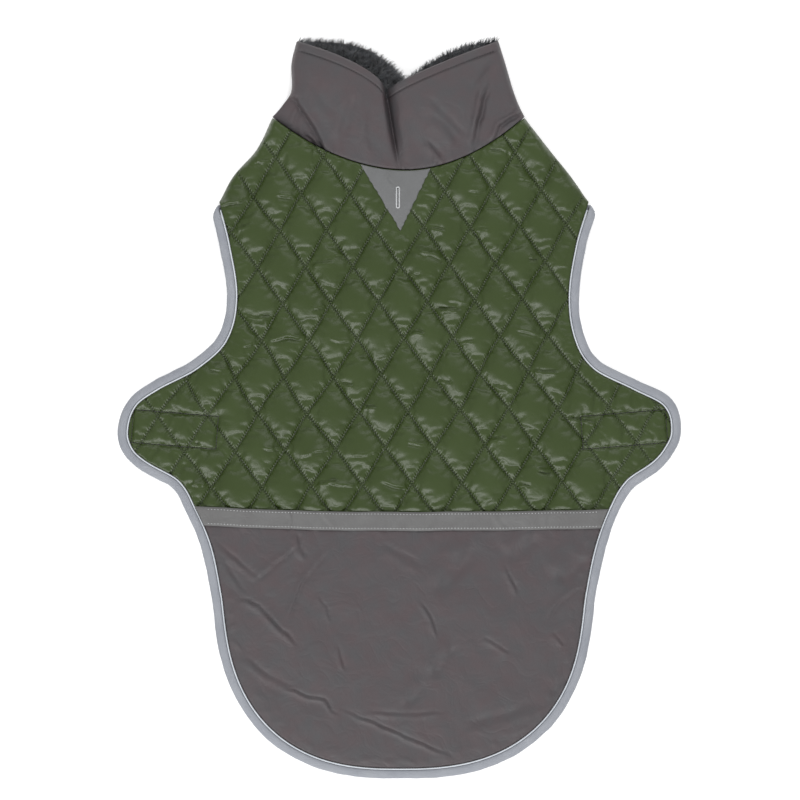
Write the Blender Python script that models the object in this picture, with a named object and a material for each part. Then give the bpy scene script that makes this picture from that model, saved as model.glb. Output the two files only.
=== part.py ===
"""Winter coat for a large dog, opened out and laid on its chest, back side up.

A quilted back with two belly wings, a plain rear panel and a cross tape make
the back. The chest panel lies under the shoulders, and the collar is a ring of
cloth with a pile lining, pressed nearly flat. One edge tape runs all the way
round, folds under at both shoulders and goes on round the chest.

Every size below is in millimetres, from the foot of the neckline's axis, and
placed() turns it to metres from the middle of the coat's outline on the ground.
+X is the coat's right side as seen from above, +Y is the neck, +Z is up.
"""

import math

import bmesh
import bpy

MM = 0.001
OUTLINE_MIDDLE = (0.22, -0.58)
SEAM_GAP = 0.4

# Side seam of the quilted back, from the shoulder corner to the flank.
SIDE_SEAM = (
    # station, y, left, right
    ("shoulder corner", 206, 180, 189),
    ("armhole", 162, 169, 176),
    ("armhole waist", 110, 162, 169),
    ("armhole foot", 66, 173, 176),
    ("wing root", 38, 203, 195),
    ("wing top", 18, 241, 234),
    ("wing shoulder", 2, 263, 264),
    ("wing tip", -24, 271.5, 271.5),
    ("wing side", -42, 266, 263.5),
    ("wing heel", -54, 252, 252.5),
    ("wing foot", -72, 221, 227),
    ("waist", -100, 204, 210),
    ("hip", -138, 188, 196),
    ("upper flank", -186, 178, 186),
    ("flank", -210, 175, 183),
)

# Folded edge of the shoulders, from the collar to the shoulder corner.
SHOULDER_FOLD = (
    # station, y, left, right
    ("neck corner", 290, 127, 125),
    ("yoke", 258, 143, 150),
    ("shoulder", 232, 166, 171),
    ("shoulder corner", 206, 180, 189),
)

# Folded sides of the collar, from its seam to its rim.
COLLAR_SIDE = (
    # station, height share, left, right
    ("seam", 0.0, 127, 125),
    ("stand", 0.25, 116, 118),
    ("waist", 0.45, 108, 113),
    ("upper", 0.75, 108, 106),
    ("rim", 1.0, 103, 99),
)

# Hem of the rear panel: a superellipse below the flank, narrowing by its taper.
HEM_CENTRE_Y = -210
HEM_DEPTH = 150.5
HEM_POWER = 2.6
HEM_TAPER = 0.12

# Neckline of the back, and how it sags towards the middle.
NECK_Y = 290
NECK_DIP = 53
NECK_POWER = 1.95
NECK_MIDDLE = 0.53

# Seam between the quilted back and the rear panel, which rises to both sides.
WAIST_SEAM_Y = -113.5
WAIST_RISE_LEFT = 6.0
WAIST_RISE_RIGHT = 2.6
WAIST_FADE = 90

QUILT = 4.5
REAR_THICK = 3.5
TAPE_WIDTH = 19
TAPE_THICK = 0.8
TAPER_TOP_Y = -82
TAPER_END_Y = -100

CHEST_THICK = 4.2
CHEST_LIFT = 4.8
CHEST_REACH_X = 172
CHEST_REACH_Y = 108
CHEST_FULL = 1.12
CHEST_CLEAR = 1.5
CHEST_POWER = 1.9
NECK_STACK = 16.0
NECK_SLOPE = 70

LIP_WIDTH = 4.5
LIP_END_Y = 213
EDGE_COLUMNS = (0.0, 1.6, LIP_WIDTH, 5.3)
PANEL_COLUMNS = 9
LEVEL_STEP = 12.0

# Edge of the chest panel under the back, mirrored to both sides.
CHEST_EDGE = (
    # station, x, y
    ("armhole", 148, 203),
    ("armhole side", 127, 187),
    ("chest side", 111, 162),
    ("chest corner", 92, 136),
    ("chest hem", 52, 117),
    ("chest middle", 0, 112),
)

EDGE_START = 2.0
EDGE_WIDTH = 8.5
EDGE_THICK = 4.2
PIPING_RADIUS = 0.7
PIPING_OFFSET = 1.05
PIPING_HEIGHT = 3.3
FOLD_RADIUS = 0.3
FOLD_CLEAR = 1.2

COLLAR_SHELL = 1.5
COLLAR_PILE = 4.0
PILE_SHARE = 0.985
COLLAR_GAP = 0.9
COLLAR_SIDE_HEIGHT = 16.0
COLLAR_LOBE = 11.0
COLLAR_RINGS = (0.0, 0.12, 0.28, 0.45, 0.62, 0.8, 0.93, 1.0)

# Rim of the near and the far wall of the collar: where each dips in its V.
NEAR_RIM = {"top": 365.5, "x": -14, "dip": 50, "left_power": 0.57, "right_power": 0.85}
FAR_RIM = {"top": 369, "x": 5, "dip": 41, "left_power": 3.8, "right_power": 2.0}

# The pleat of the near wall, from its foot at the seam to the V of the rim.
PLEAT_FOOT_X = 0
PLEAT_DEPTH = 8.5
PLEAT_SPREAD = 9.0
PLEAT_COLUMNS = (3.0, 8.0, 18.0)

# Tucks of the near wall: the cloth right of each line stands over what is left of it.
COLLAR_TUCKS = (
    # name, foot x, foot y, head x, head y, step, spread
    ("left tuck", -74, 256, -107, 324, 4.5, 10),
    ("right tuck", 74, 254, 90, 318, -2.5, 12),
)

PATCH_HALF_TOP = 35
PATCH_TOP_X = -4
PATCH_TIP = (1.0, 177.0)
PATCH_THICK = 0.8
SLIT_CENTRE = (-1.6, 210.0)
SLIT_LENGTH = 22
SLIT_WIDTH = 1.6

CLOSURE_SIZE = (79, 29, 1.5)
CLOSURE_CENTRE = (224.5, -21.5)
CLOSURE_TILT = 4.6
CLOSURE_GAP = 0.35

COLOURS = {
    # material name: (red, green, blue), roughness
    "olive quilting": ((0.062, 0.083, 0.039), 0.34),
    "grey shell cloth": ((0.110, 0.098, 0.102), 0.55),
    "reflective tape": ((0.19, 0.19, 0.185), 0.5),
    "edge tape": ((0.38, 0.39, 0.43), 0.7),
    "reflective piping": ((0.70, 0.74, 0.78), 0.35),
    "dark pile": ((0.045, 0.048, 0.055), 0.95),
    "closure cloth": ((0.05, 0.055, 0.05), 0.9),
}


# ---------------------------------------------------------------- curves


def blend_step(t):
    """0 below 0, 1 above 1, smooth in between."""
    t = min(1.0, max(0.0, t))
    return t * t * (3 - 2 * t)


def smooth_value(table, at, column):
    """Reads a column of a station table at a height, on a smooth curve through its rows."""
    rows = sorted((row[1], row[column]) for row in table)
    at = min(max(at, rows[0][0]), rows[-1][0])
    k = max(i for i in range(len(rows) - 1) if rows[i][0] <= at)

    def slope(i):
        low, high = rows[max(i - 1, 0)], rows[min(i + 1, len(rows) - 1)]
        return (high[1] - low[1]) / (high[0] - low[0])

    (y0, v0), (y1, v1) = rows[k], rows[k + 1]
    h = y1 - y0
    t = (at - y0) / h
    return (
        (2 * t**3 - 3 * t**2 + 1) * v0
        + (t**3 - 2 * t**2 + t) * h * slope(k)
        + (3 * t**2 - 2 * t**3) * v1
        + (t**3 - t**2) * h * slope(k + 1)
    )


def side_x(y, side):
    """X of the coat's cut edge at a height, for side -1 (left) or 1 (right)."""
    column = 2 if side < 0 else 3
    if y < HEM_CENTRE_Y:
        half = SIDE_SEAM[-1][column]
        sunk = min(1.0, (HEM_CENTRE_Y - y) / HEM_DEPTH)
        half -= HEM_TAPER * sunk * HEM_DEPTH
        return side * half * (1 - sunk**HEM_POWER) ** (1 / HEM_POWER)
    table = SHOULDER_FOLD if y > SIDE_SEAM[0][1] else SIDE_SEAM
    return side * smooth_value(table, y, column)


def neck_dip(share):
    """How far the neckline hangs below its corners, at a share of its width."""
    middle = NECK_MIDDLE
    away = (middle - share) / middle if share < middle else (share - middle) / (1 - middle)
    return NECK_DIP * (1 - away**NECK_POWER)


def neck_y(x):
    """Height of the neckline above a point of the coat."""
    left, right = SHOULDER_FOLD[0][2:]
    return NECK_Y - neck_dip(min(1.0, max(0.0, (x + left) / (left + right))))


def waist_rise(share):
    """How far the waist seam stands above its lowest point."""
    across = 2 * share - 1
    return (WAIST_RISE_LEFT if across < 0 else WAIST_RISE_RIGHT) * across**2


def lift(x, y):
    """Height of the coat's underside: it rises over the chest panel and to the collar."""
    down = max(0.0, CHEST_TOP_Y - y) / CHEST_REACH_Y
    out = abs(x - 3) / CHEST_REACH_X
    reach = (out**CHEST_POWER + down**CHEST_POWER) ** (1 / CHEST_POWER) if down > 0 else 0.0
    over_chest = CHEST_LIFT * (1 - blend_step((reach - CHEST_FULL) / (CHEST_CLEAR - CHEST_FULL)))
    to_collar = 1 - blend_step((neck_y(x) - y) / NECK_SLOPE)
    return over_chest + (NECK_STACK - QUILT - CHEST_LIFT) * to_collar


CHEST_TOP_Y = 208


def quilt_thickness(y):
    """The quilting thins out under the cross tape."""
    share = blend_step((TAPER_TOP_Y - y) / (TAPER_TOP_Y - TAPER_END_Y))
    return QUILT + (REAR_THICK - QUILT) * share


def back_top(x, y):
    """Height of the back's upper face."""
    return lift(x, y) + quilt_thickness(y)


def levels_between(top, bottom):
    """Heights from top to bottom whose points lie LEVEL_STEP apart along the cut edge."""
    fine = [top + (bottom - top) * i / 400 for i in range(401)]
    length = [0.0]
    for high, low in zip(fine, fine[1:]):
        length.append(length[-1] + math.hypot(side_x(high, 1) - side_x(low, 1), high - low))
    count = max(1, round(length[-1] / LEVEL_STEP))
    found = []
    for k in range(count + 1):
        want = length[-1] * k / count
        i = min(max(j for j in range(401) if length[j] <= want), 399)
        share = (want - length[i]) / (length[i + 1] - length[i])
        found.append(fine[i] + share * (fine[i + 1] - fine[i]))
    return found


# ---------------------------------------------------------------- objects


def placed(x, y, z):
    """A point in millimetres as metres from the middle of the outline."""
    return MM * (x - OUTLINE_MIDDLE[0]), MM * (y - OUTLINE_MIDDLE[1]), MM * z


def material_of(name):
    """The Principled material of that name, made once."""
    if name in bpy.data.materials:
        return bpy.data.materials[name]
    colour, roughness = COLOURS[name]
    made = bpy.data.materials.new(name)
    made.use_nodes = True
    shader = made.node_tree.nodes["Principled BSDF"]
    shader.inputs["Base Color"].default_value = (*colour, 1)
    shader.inputs["Roughness"].default_value = roughness
    shader.inputs["Metallic"].default_value = 0.0
    return made


def collection_of(name):
    """A collection under the scene's own."""
    made = bpy.data.collections.new(name)
    bpy.context.scene.collection.children.link(made)
    return made


def new_mesh(name, points, faces, material, collection):
    """A mesh object from points in millimetres, with its faces turned outwards."""
    mesh = bpy.data.meshes.new(name)
    shape = bmesh.new()
    corners = [shape.verts.new(placed(*point)) for point in points]
    for face in faces:
        shape.faces.new([corners[i] for i in face])
    bmesh.ops.recalc_face_normals(shape, faces=shape.faces)
    shape.to_mesh(mesh)
    shape.free()
    made = bpy.data.objects.new(name, mesh)
    mesh.materials.append(material_of(material))
    collection.objects.link(made)
    return made


def loft_slab(name, rows, material, collection):
    """A closed slab from rows of (x, y, underside, top), the same number in each row."""
    wide = len(rows[0])
    flat = [point for row in rows for point in row]
    points = [(x, y, low) for x, y, low, high in flat] + [(x, y, high) for x, y, low, high in flat]
    upper = len(flat)
    faces = []
    for r in range(len(rows) - 1):
        for c in range(wide - 1):
            a, b = r * wide + c, (r + 1) * wide + c
            faces.append((a, a + 1, b + 1, b))
            faces.append((upper + a, upper + b, upper + b + 1, upper + a + 1))
    rim = [c for c in range(wide)]
    rim += [r * wide + wide - 1 for r in range(1, len(rows))]
    rim += [(len(rows) - 1) * wide + c for c in range(wide - 2, -1, -1)]
    rim += [r * wide for r in range(len(rows) - 2, 0, -1)]
    for a, b in zip(rim, rim[1:] + rim[:1]):
        faces.append((a, upper + a, upper + b, b))
    return new_mesh(name, points, faces, material, collection)


def loft_tube(name, sections, material, collection, closed):
    """A solid through closed sections of equal length, joined end to start or capped."""
    size = len(sections[0])
    points = [point for section in sections for point in section]
    faces = []
    for k in range(len(sections) if closed else len(sections) - 1):
        first, second = k * size, ((k + 1) % len(sections)) * size
        for i in range(size):
            j = (i + 1) % size
            faces.append((first + i, first + j, second + j, second + i))
    if not closed:
        faces.append(tuple(range(size)))
        faces.append(tuple(range((len(sections) - 1) * size, len(sections) * size)))
    return new_mesh(name, points, faces, material, collection)


def plate(name, outline, low, high, material, collection):
    """A flat outline, extruded between two heights and made a mesh."""
    curve = bpy.data.curves.new(name, "CURVE")
    curve.dimensions = "2D"
    curve.fill_mode = "BOTH"
    curve.extrude = MM * (high - low) / 2
    spline = curve.splines.new("POLY")
    spline.points.add(len(outline) - 1)
    for point, (x, y) in zip(spline.points, outline):
        point.co = (*placed(x, y, 0), 1)
    spline.use_cyclic_u = True
    drawn = bpy.data.objects.new(name + " outline", curve)
    drawn.location.z = MM * (high + low) / 2
    collection.objects.link(drawn)
    bpy.context.view_layer.update()
    solid = drawn.evaluated_get(bpy.context.evaluated_depsgraph_get())
    mesh = bpy.data.meshes.new_from_object(solid)
    place = drawn.matrix_world.copy()
    bpy.data.objects.remove(drawn)
    shape = bmesh.new()
    shape.from_mesh(mesh)
    bmesh.ops.remove_doubles(shape, verts=shape.verts, dist=0.00001)
    bmesh.ops.recalc_face_normals(shape, faces=shape.faces)
    shape.to_mesh(mesh)
    shape.free()
    made = bpy.data.objects.new(name, mesh)
    made.matrix_world = place
    mesh.materials.append(material_of(material))
    collection.objects.link(made)
    return made


def box_cutter(name, centre, size, turn, cutters):
    """A hidden box that a Boolean modifier cuts with."""
    mesh = bpy.data.meshes.new(name)
    shape = bmesh.new()
    bmesh.ops.create_cube(shape, size=1)
    bmesh.ops.scale(shape, vec=[MM * side for side in size], verts=shape.verts)
    shape.to_mesh(mesh)
    shape.free()
    made = bpy.data.objects.new(name, mesh)
    made.location = placed(*centre)
    made.rotation_euler.z = math.radians(turn)
    made.hide_render = True
    made.display_type = "WIRE"
    cutters.objects.link(made)
    return made


def cut(solid, cutter):
    """Takes the cutter out of the solid."""
    modifier = solid.modifiers.new(cutter.name, "BOOLEAN")
    modifier.operation = "DIFFERENCE"
    modifier.object = cutter


# ---------------------------------------------------------------- back and rear


def column_places(left, right):
    """X of every column of a row: close together at both edges, even in between."""
    ends = list(EDGE_COLUMNS)
    inner_left, inner_right = left + ends[-1], right - ends[-1]
    between = [
        inner_left + (inner_right - inner_left) * i / (PANEL_COLUMNS + 1)
        for i in range(1, PANEL_COLUMNS + 1)
    ]
    return [left + d for d in ends] + between + [right - d for d in reversed(ends)]


def panel_row(level, neck_share, waist_share):
    """Plan points of one row of the back or rear, between its two cut edges."""
    left_y = level + waist_rise(0) * waist_share
    right_y = level + waist_rise(1) * waist_share
    left, right = side_x(left_y, -1), side_x(right_y, 1)
    row = []
    for x in column_places(left, right):
        share = (x - left) / (right - left)
        row.append((x, level - neck_dip(share) * neck_share + waist_rise(share) * waist_share))
    return row


def waist_share_at(level):
    """1 at the waist seam, fading to 0 above and below it."""
    return 1 - blend_step(abs(level - WAIST_SEAM_Y) / WAIST_FADE)


def back_levels():
    """Heights of the rows of the quilted back, from the neck to the waist seam."""
    corner = SIDE_SEAM[0][1]
    shoulder = levels_between(NECK_Y, LIP_END_Y)
    return shoulder + levels_between(corner, WAIST_SEAM_Y + SEAM_GAP / 2)


def back_plan(level):
    """Plan points of one row of the quilted back."""
    neck_share = max(0.0, (level - WAIST_SEAM_Y) / (NECK_Y - WAIST_SEAM_Y)) ** 2
    return panel_row(level, neck_share, waist_share_at(level))


def make_back(collection, cutters):
    """The quilted back with its wings, its shoulders turned down round the chest panel."""
    rows = []
    for level in back_levels():
        plan = back_plan(level)
        folded = level >= LIP_END_Y
        row = []
        for c, (x, y) in enumerate(plan):
            low, high = lift(x, y), back_top(x, y)
            inward = min(x - plan[0][0], plan[-1][0] - x)
            if folded and inward <= LIP_WIDTH + 0.01:
                round_off = (1 - inward / LIP_WIDTH) ** 2
                low, high = 0.3 * high * round_off, high * (1 - 0.3 * round_off)
            row.append((x, y, low, high))
        rows.append(row)
    back = loft_slab("back_panel", rows, "olive quilting", collection)
    depth = CLOSURE_SIZE[2] + CLOSURE_GAP
    size = (CLOSURE_SIZE[0] + 2 * CLOSURE_GAP, CLOSURE_SIZE[1] + 2 * CLOSURE_GAP, 2 * depth)
    for side, word in ((-1, "left"), (1, "right")):
        centre = (side * CLOSURE_CENTRE[0], CLOSURE_CENTRE[1], 0)
        cut(back, box_cutter(word + " recess", centre, size, side * CLOSURE_TILT, cutters))
    return back


def rear_levels():
    """Heights of the rows of the rear panel: even along the flank, then round the hem."""
    flank = levels_between(WAIST_SEAM_Y - SEAM_GAP / 2, HEM_CENTRE_Y)
    steps = 13
    hem = []
    for k in range(1, steps):
        turn = math.radians(90) * (k / steps)
        hem.append(HEM_CENTRE_Y - HEM_DEPTH * math.sin(turn) ** (2 / HEM_POWER))
    return flank + hem


def make_rear(collection):
    """The plain rear panel, from the waist seam to the round hem."""
    rows = []
    for level in rear_levels():
        plan = panel_row(level, 0.0, waist_share_at(level))
        rows.append([(x, y, 0.0, REAR_THICK) for x, y in plan])
    return loft_slab("rear_panel", rows, "grey shell cloth", collection)


def make_cross_tape(collection):
    """The reflective tape that covers the waist seam."""
    rows = []
    for part in (-0.5, 0.5):
        middle = panel_row(WAIST_SEAM_Y, 0.0, 1.0)
        row = []
        for x, y in middle:
            y += part * TAPE_WIDTH
            low = REAR_THICK + SEAM_GAP
            row.append((x, y, low, low + TAPE_THICK))
        ends = (side_x(row[0][1], -1) + SEAM_GAP, side_x(row[-1][1], 1) - SEAM_GAP)
        shares = [(x - row[0][0]) / (row[-1][0] - row[0][0]) for x, *rest in row]
        row = [
            (ends[0] + share * (ends[1] - ends[0]), *rest)
            for share, (x, *rest) in zip(shares, row)
        ]
        rows.append(row)
    return loft_slab("cross_tape", rows, "reflective tape", collection)


def make_patch(collection):
    """The pointed patch below the collar that backs the lead slit."""
    steps, across = 8, 4
    rows = []
    for k in range(steps + 1):
        down = k / steps
        half = PATCH_HALF_TOP * (1 - down) + 0.6 * down
        middle = PATCH_TOP_X + (PATCH_TIP[0] - PATCH_TOP_X) * down
        row = []
        for i in range(across + 1):
            x = middle + half * (2 * i / across - 1)
            top = neck_y(x) - 1.0
            y = top + (PATCH_TIP[1] - top) * down
            low = back_top(x, y) + SEAM_GAP
            row.append((x, y, low, low + PATCH_THICK))
        rows.append(row)
    return loft_slab("lead_patch", rows, "reflective tape", collection)


def make_closures(collection):
    """The closure patches, set into the underside of both wings."""
    length, width, thick = CLOSURE_SIZE
    for side, name in ((-1, "closure_left"), (1, "closure_right")):
        turn = math.radians(side * CLOSURE_TILT)
        outline = []
        for sx, sy in ((-1, -1), (1, -1), (1, 1), (-1, 1)):
            x, y = sx * length / 2, sy * width / 2
            outline.append(
                (
                    side * CLOSURE_CENTRE[0] + x * math.cos(turn) - y * math.sin(turn),
                    CLOSURE_CENTRE[1] + x * math.sin(turn) + y * math.cos(turn),
                )
            )
        plate(name, outline, 0.0, thick, "closure cloth", collection)


# ---------------------------------------------------------------- edge tape


class ShoulderFold:
    """Where the edge tape turns under the coat at one shoulder."""

    def __init__(self, side):
        neck, corner = SHOULDER_FOLD[-2], SHOULDER_FOLD[-1]
        column = 2 if side < 0 else 3
        self.corner = (side * corner[column], corner[1])
        along = (side * (neck[column] - corner[column]), neck[1] - corner[1])
        size = math.hypot(*along)
        self.line = (along[0] / size, along[1] / size)
        self.out = (side * self.line[1], -side * self.line[0])
        self.radius = FOLD_RADIUS + EDGE_THICK
        self.middle = FOLD_RADIUS + EDGE_THICK / 2
        self.axis = tuple(c - self.radius * o for c, o in zip(self.corner, self.out))
        below = (side_x(corner[1] - 12, side), corner[1] - 12)
        run = (self.corner[0] - below[0], self.corner[1] - below[1])
        size = math.hypot(*run)
        self.run = (run[0] / size, run[1] / size)
        self.normal = (side * self.run[1], -side * self.run[0])

    def place(self, along, out, height):
        """A point of the tape, given flat as distance past the corner and out from the seam."""
        x = self.corner[0] + self.run[0] * along + self.normal[0] * out
        y = self.corner[1] + self.run[1] * along + self.normal[1] * out
        dx, dy = x - self.axis[0], y - self.axis[1]
        past = dx * self.out[0] + dy * self.out[1]
        level = dx * self.line[0] + dy * self.line[1]
        radius = FOLD_RADIUS + height
        turn = min(max(past / self.middle, 0.0), math.pi)
        if past <= 0:
            away = past
        elif turn < math.pi:
            away = radius * math.sin(turn)
        else:
            away = -(past - math.pi * self.middle)
        return (
            self.axis[0] + self.line[0] * level + self.out[0] * away,
            self.axis[1] + self.line[1] * level + self.out[1] * away,
            self.radius + radius * math.cos(turn),
        )


FOLD_START = -16.0
FOLD_END = 9.0
FOLD_STEPS = 10
EDGE_SECTION = (
    # out from the seam, height above the underside
    (EDGE_START, 0.0),
    (EDGE_START, 3.5),
    (EDGE_START + 1.4, EDGE_THICK),
    (EDGE_START + EDGE_WIDTH - 2.0, EDGE_THICK),
    (EDGE_START + EDGE_WIDTH, 2.9),
    (EDGE_START + EDGE_WIDTH, 0.7),
    (EDGE_START + EDGE_WIDTH - 0.8, 0.0),
)


def upper_route():
    """The cut edge of the back and rear, from the left shoulder round the hem to the right."""
    back = [y for y in back_levels() if y < SIDE_SEAM[0][1] + FOLD_START]
    levels = back[:-1] + [WAIST_SEAM_Y] + rear_levels()[1:]
    left, right = [], []
    for level in levels:
        share = waist_share_at(level)
        for side, places in ((-1, left), (1, right)):
            y = level + waist_rise(0 if side < 0 else 1) * share
            places.append((side_x(y, side), y))
    return left + right[::-1]


def chest_route(fold_left, fold_right):
    """The chest panel's edge, from the right shoulder fold to the left one."""
    start = fold_right.place(FOLD_END, 0.0, 0.0)[:2]
    end = fold_left.place(FOLD_END, 0.0, 0.0)[:2]
    side = [row[1:] for row in CHEST_EDGE]
    knots = [start] + side + [(-x, y) for x, y in side[-2::-1]] + [end]
    return catmull(knots, 4)


def catmull(knots, steps):
    """Points on a smooth open curve through the knots."""
    found = []
    for k in range(len(knots) - 1):
        a = knots[max(k - 1, 0)]
        b, c = knots[k], knots[k + 1]
        d = knots[min(k + 2, len(knots) - 1)]
        for i in range(steps):
            t = i / steps
            found.append(
                tuple(
                    0.5
                    * (
                        2 * b[n]
                        + (c[n] - a[n]) * t
                        + (2 * a[n] - 5 * b[n] + 4 * c[n] - d[n]) * t**2
                        + (3 * b[n] - a[n] - 3 * c[n] + d[n]) * t**3
                    )
                    for n in (0, 1)
                )
            )
    return found + [tuple(knots[-1])]


def outward(route, k):
    """Outward normal of a route at one point, long enough to keep both sides parallel."""
    normals = []
    for a, b in ((k - 1, k), (k, k + 1)):
        if 0 <= a and b < len(route):
            dx, dy = route[b][0] - route[a][0], route[b][1] - route[a][1]
            size = math.hypot(dx, dy)
            normals.append((dy / size, -dx / size))
    nx = sum(n[0] for n in normals) / len(normals)
    ny = sum(n[1] for n in normals) / len(normals)
    square = nx * nx + ny * ny
    return nx / square, ny / square


def offset_out(route, k, distance):
    """A point of the route moved out to the right of its heading, as seen from above."""
    nx, ny = outward(route, k)
    return route[k][0] - nx * distance, route[k][1] - ny * distance


def make_edge_tape(collection):
    """The tape round every cut edge: back, hem, both shoulder folds and the chest."""
    left, right = ShoulderFold(-1), ShoulderFold(1)
    upper = upper_route()
    lower = chest_route(left, right)
    steps = [
        FOLD_START + (FOLD_END - FOLD_START) * i / FOLD_STEPS for i in range(FOLD_STEPS + 1)
    ]
    sections = []
    folded = [(max(out, EDGE_START + FOLD_CLEAR), high) for out, high in EDGE_SECTION]
    for along in reversed(steps):
        sections.append([left.place(along, out, high) for out, high in folded])
    for k in range(len(upper)):
        base = lift(*upper[k])
        sections.append([(*offset_out(upper, k, -out), base + high) for out, high in EDGE_SECTION])
    for along in steps:
        sections.append([right.place(along, out, high) for out, high in folded])
    for k in range(1, len(lower) - 1):
        sections.append(
            [(*offset_out(lower, k, out), EDGE_THICK - high) for out, high in EDGE_SECTION]
        )
    return loft_tube("edge_tape", sections, "edge tape", collection, closed=True)


def make_piping(collection):
    """The round piping between the coat's cut edge and the edge tape."""
    left, right = ShoulderFold(-1), ShoulderFold(1)
    upper = upper_route()
    route = [left.place(-13.0, 0.0, 0.0)[:2]] + upper + [right.place(-13.0, 0.0, 0.0)[:2]]
    sections = []
    for k in range(len(route)):
        base = lift(*route[k]) + PIPING_HEIGHT
        section = []
        for i in range(6):
            turn = math.radians(60 * i + 30)
            out = PIPING_OFFSET + PIPING_RADIUS * math.cos(turn)
            x, y = offset_out(route, k, -out)
            section.append((x, y, base + PIPING_RADIUS * math.sin(turn)))
        sections.append(section)
    return loft_tube("edge_piping", sections, "reflective piping", collection, closed=False)


def make_chest(collection):
    """The chest panel, flat on the ground under the shoulders."""
    left, right = ShoulderFold(-1), ShoulderFold(1)
    edge = chest_route(left, right)
    lips = len(EDGE_COLUMNS) - 1
    rows = [back_plan(level) for level in back_levels() if level > LIP_END_Y + 1]
    outline = edge[1:-1]
    outline += [(row[lips][0] + SEAM_GAP, row[lips][1] - 1) for row in reversed(rows)]
    outline += [(x, y - 1) for x, y in rows[0][lips + 1 : -lips - 1]]
    outline += [(row[-lips - 1][0] - SEAM_GAP, row[-lips - 1][1] - 1) for row in rows]
    return plate("chest_panel", outline, 0.0, CHEST_THICK, "olive quilting", collection)


# ---------------------------------------------------------------- collar


def rim_y(x, rim, left, right):
    """Height of a collar wall's rim, which dips in a V."""
    reach = (rim["x"] - x) / (rim["x"] - left) if x < rim["x"] else (x - rim["x"]) / (right - rim["x"])
    reach = min(1.0, max(0.0, reach))
    power = rim["left_power"] if x < rim["x"] else rim["right_power"]
    dip = 1 - reach**power if power < 1 else (1 - reach) ** power
    return rim["top"] - rim["dip"] * dip


def tuck_height(x, y):
    """Steps of the near wall at its tucks."""
    total = 0.0
    for _, foot_x, foot_y, head_x, head_y, step, spread in COLLAR_TUCKS:
        dx, dy = head_x - foot_x, head_y - foot_y
        size = math.hypot(dx, dy)
        along = ((x - foot_x) * dx + (y - foot_y) * dy) / size**2
        across = ((x - foot_x) * dy - (y - foot_y) * dx) / size
        inside = blend_step(along * 5 + 0.3) * blend_step((1 - along) * 5 + 0.3)
        side = 1 if foot_x > 0 else -1
        away = blend_step(0.5 - side * across / spread)
        total -= abs(step) * inside * (1 - away) if side > 0 else abs(step) * inside * (1 - away)
    return total


def near_height(x, y, share, left, right, pleat):
    """Outer height of the near wall: two lobes with the pleat between them."""
    span = (x - left) / (pleat - left) if x < pleat else (right - x) / (right - pleat)
    lobe = math.sin(math.pi * min(1.0, max(0.0, span * 0.86))) ** 0.7
    raised = COLLAR_LOBE * lobe * blend_step(share * 1.3)
    sunk = PLEAT_DEPTH * math.exp(-(((x - pleat) / PLEAT_SPREAD) ** 2)) * blend_step(share * 1.6)
    height = COLLAR_SIDE_HEIGHT + raised - sunk + tuck_height(x, y) * min(1.0, share * 3)
    return max(height, COLLAR_SIDE_HEIGHT - 2.5)


def collar_ring(share, inset):
    """One closed section of the collar, pulled in from its outer face by inset."""
    left = -smooth_value(COLLAR_SIDE, share, 2)
    right = smooth_value(COLLAR_SIDE, share, 3)
    radius = COLLAR_SIDE_HEIGHT / 2
    pleat = PLEAT_FOOT_X + (NEAR_RIM["x"] - PLEAT_FOOT_X) * share

    def near_y(x):
        low = neck_y(x) + COLLAR_GAP
        return low + (rim_y(x, NEAR_RIM, left, right) - low) * share

    def far_y(x):
        low = neck_y(x) + COLLAR_GAP
        return low + (rim_y(x, FAR_RIM, left, right) - low) * share

    def side_point(flat, side, turn):
        angle = math.radians(turn)
        fold_x = flat + side * radius * math.cos(angle)
        mix = 0.5 - 0.5 * math.sin(angle)
        y = near_y(fold_x) * (1 - mix) + far_y(fold_x) * mix
        x = flat + side * (radius - inset) * math.cos(angle)
        return x, y, radius + (radius - inset) * math.sin(angle)

    flat_left, flat_right = left + radius, right - radius
    outer = 6
    near_x = [
        flat_left + (pleat - PLEAT_COLUMNS[-1] - flat_left) * i / outer for i in range(outer)
    ]
    near_x += [pleat - d for d in reversed(PLEAT_COLUMNS)] + [pleat] + [pleat + d for d in PLEAT_COLUMNS]
    near_x += [
        flat_right - (flat_right - pleat - PLEAT_COLUMNS[-1]) * i / outer
        for i in range(outer - 1, -1, -1)
    ]
    ring = []
    for x in near_x:
        y = near_y(x)
        ring.append((x, y, near_height(x, y, share, left, right, pleat) - inset))
    for turn in (60, 30, 0, -30, -60):
        ring.append(side_point(flat_right, 1, turn))
    far_steps = 9
    for i in range(far_steps + 1):
        x = flat_right + (flat_left - flat_right) * i / far_steps
        ring.append((x, far_y(x), inset))
    for turn in (-60, -30, 0, 30, 60):
        ring.append(side_point(flat_left, -1, turn))
    return ring


def loft_collar(name, outer, inner, material, collection):
    """A ring-shaped wall between outer and inner sections, open at both ends."""
    size, count = len(outer[0]), len(outer)
    points = [point for ring in outer + inner for point in ring]
    inside = size * count
    faces = []
    for r in range(count - 1):
        for i in range(size):
            j = (i + 1) % size
            a, b = r * size, (r + 1) * size
            faces.append((a + i, a + j, b + j, b + i))
            faces.append((inside + a + i, inside + b + i, inside + b + j, inside + a + j))
    for r in (0, count - 1):
        for i in range(size):
            j = (i + 1) % size
            a = r * size
            faces.append((a + i, a + j, inside + a + j, inside + a + i))
    return new_mesh(name, points, faces, material, collection)


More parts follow.
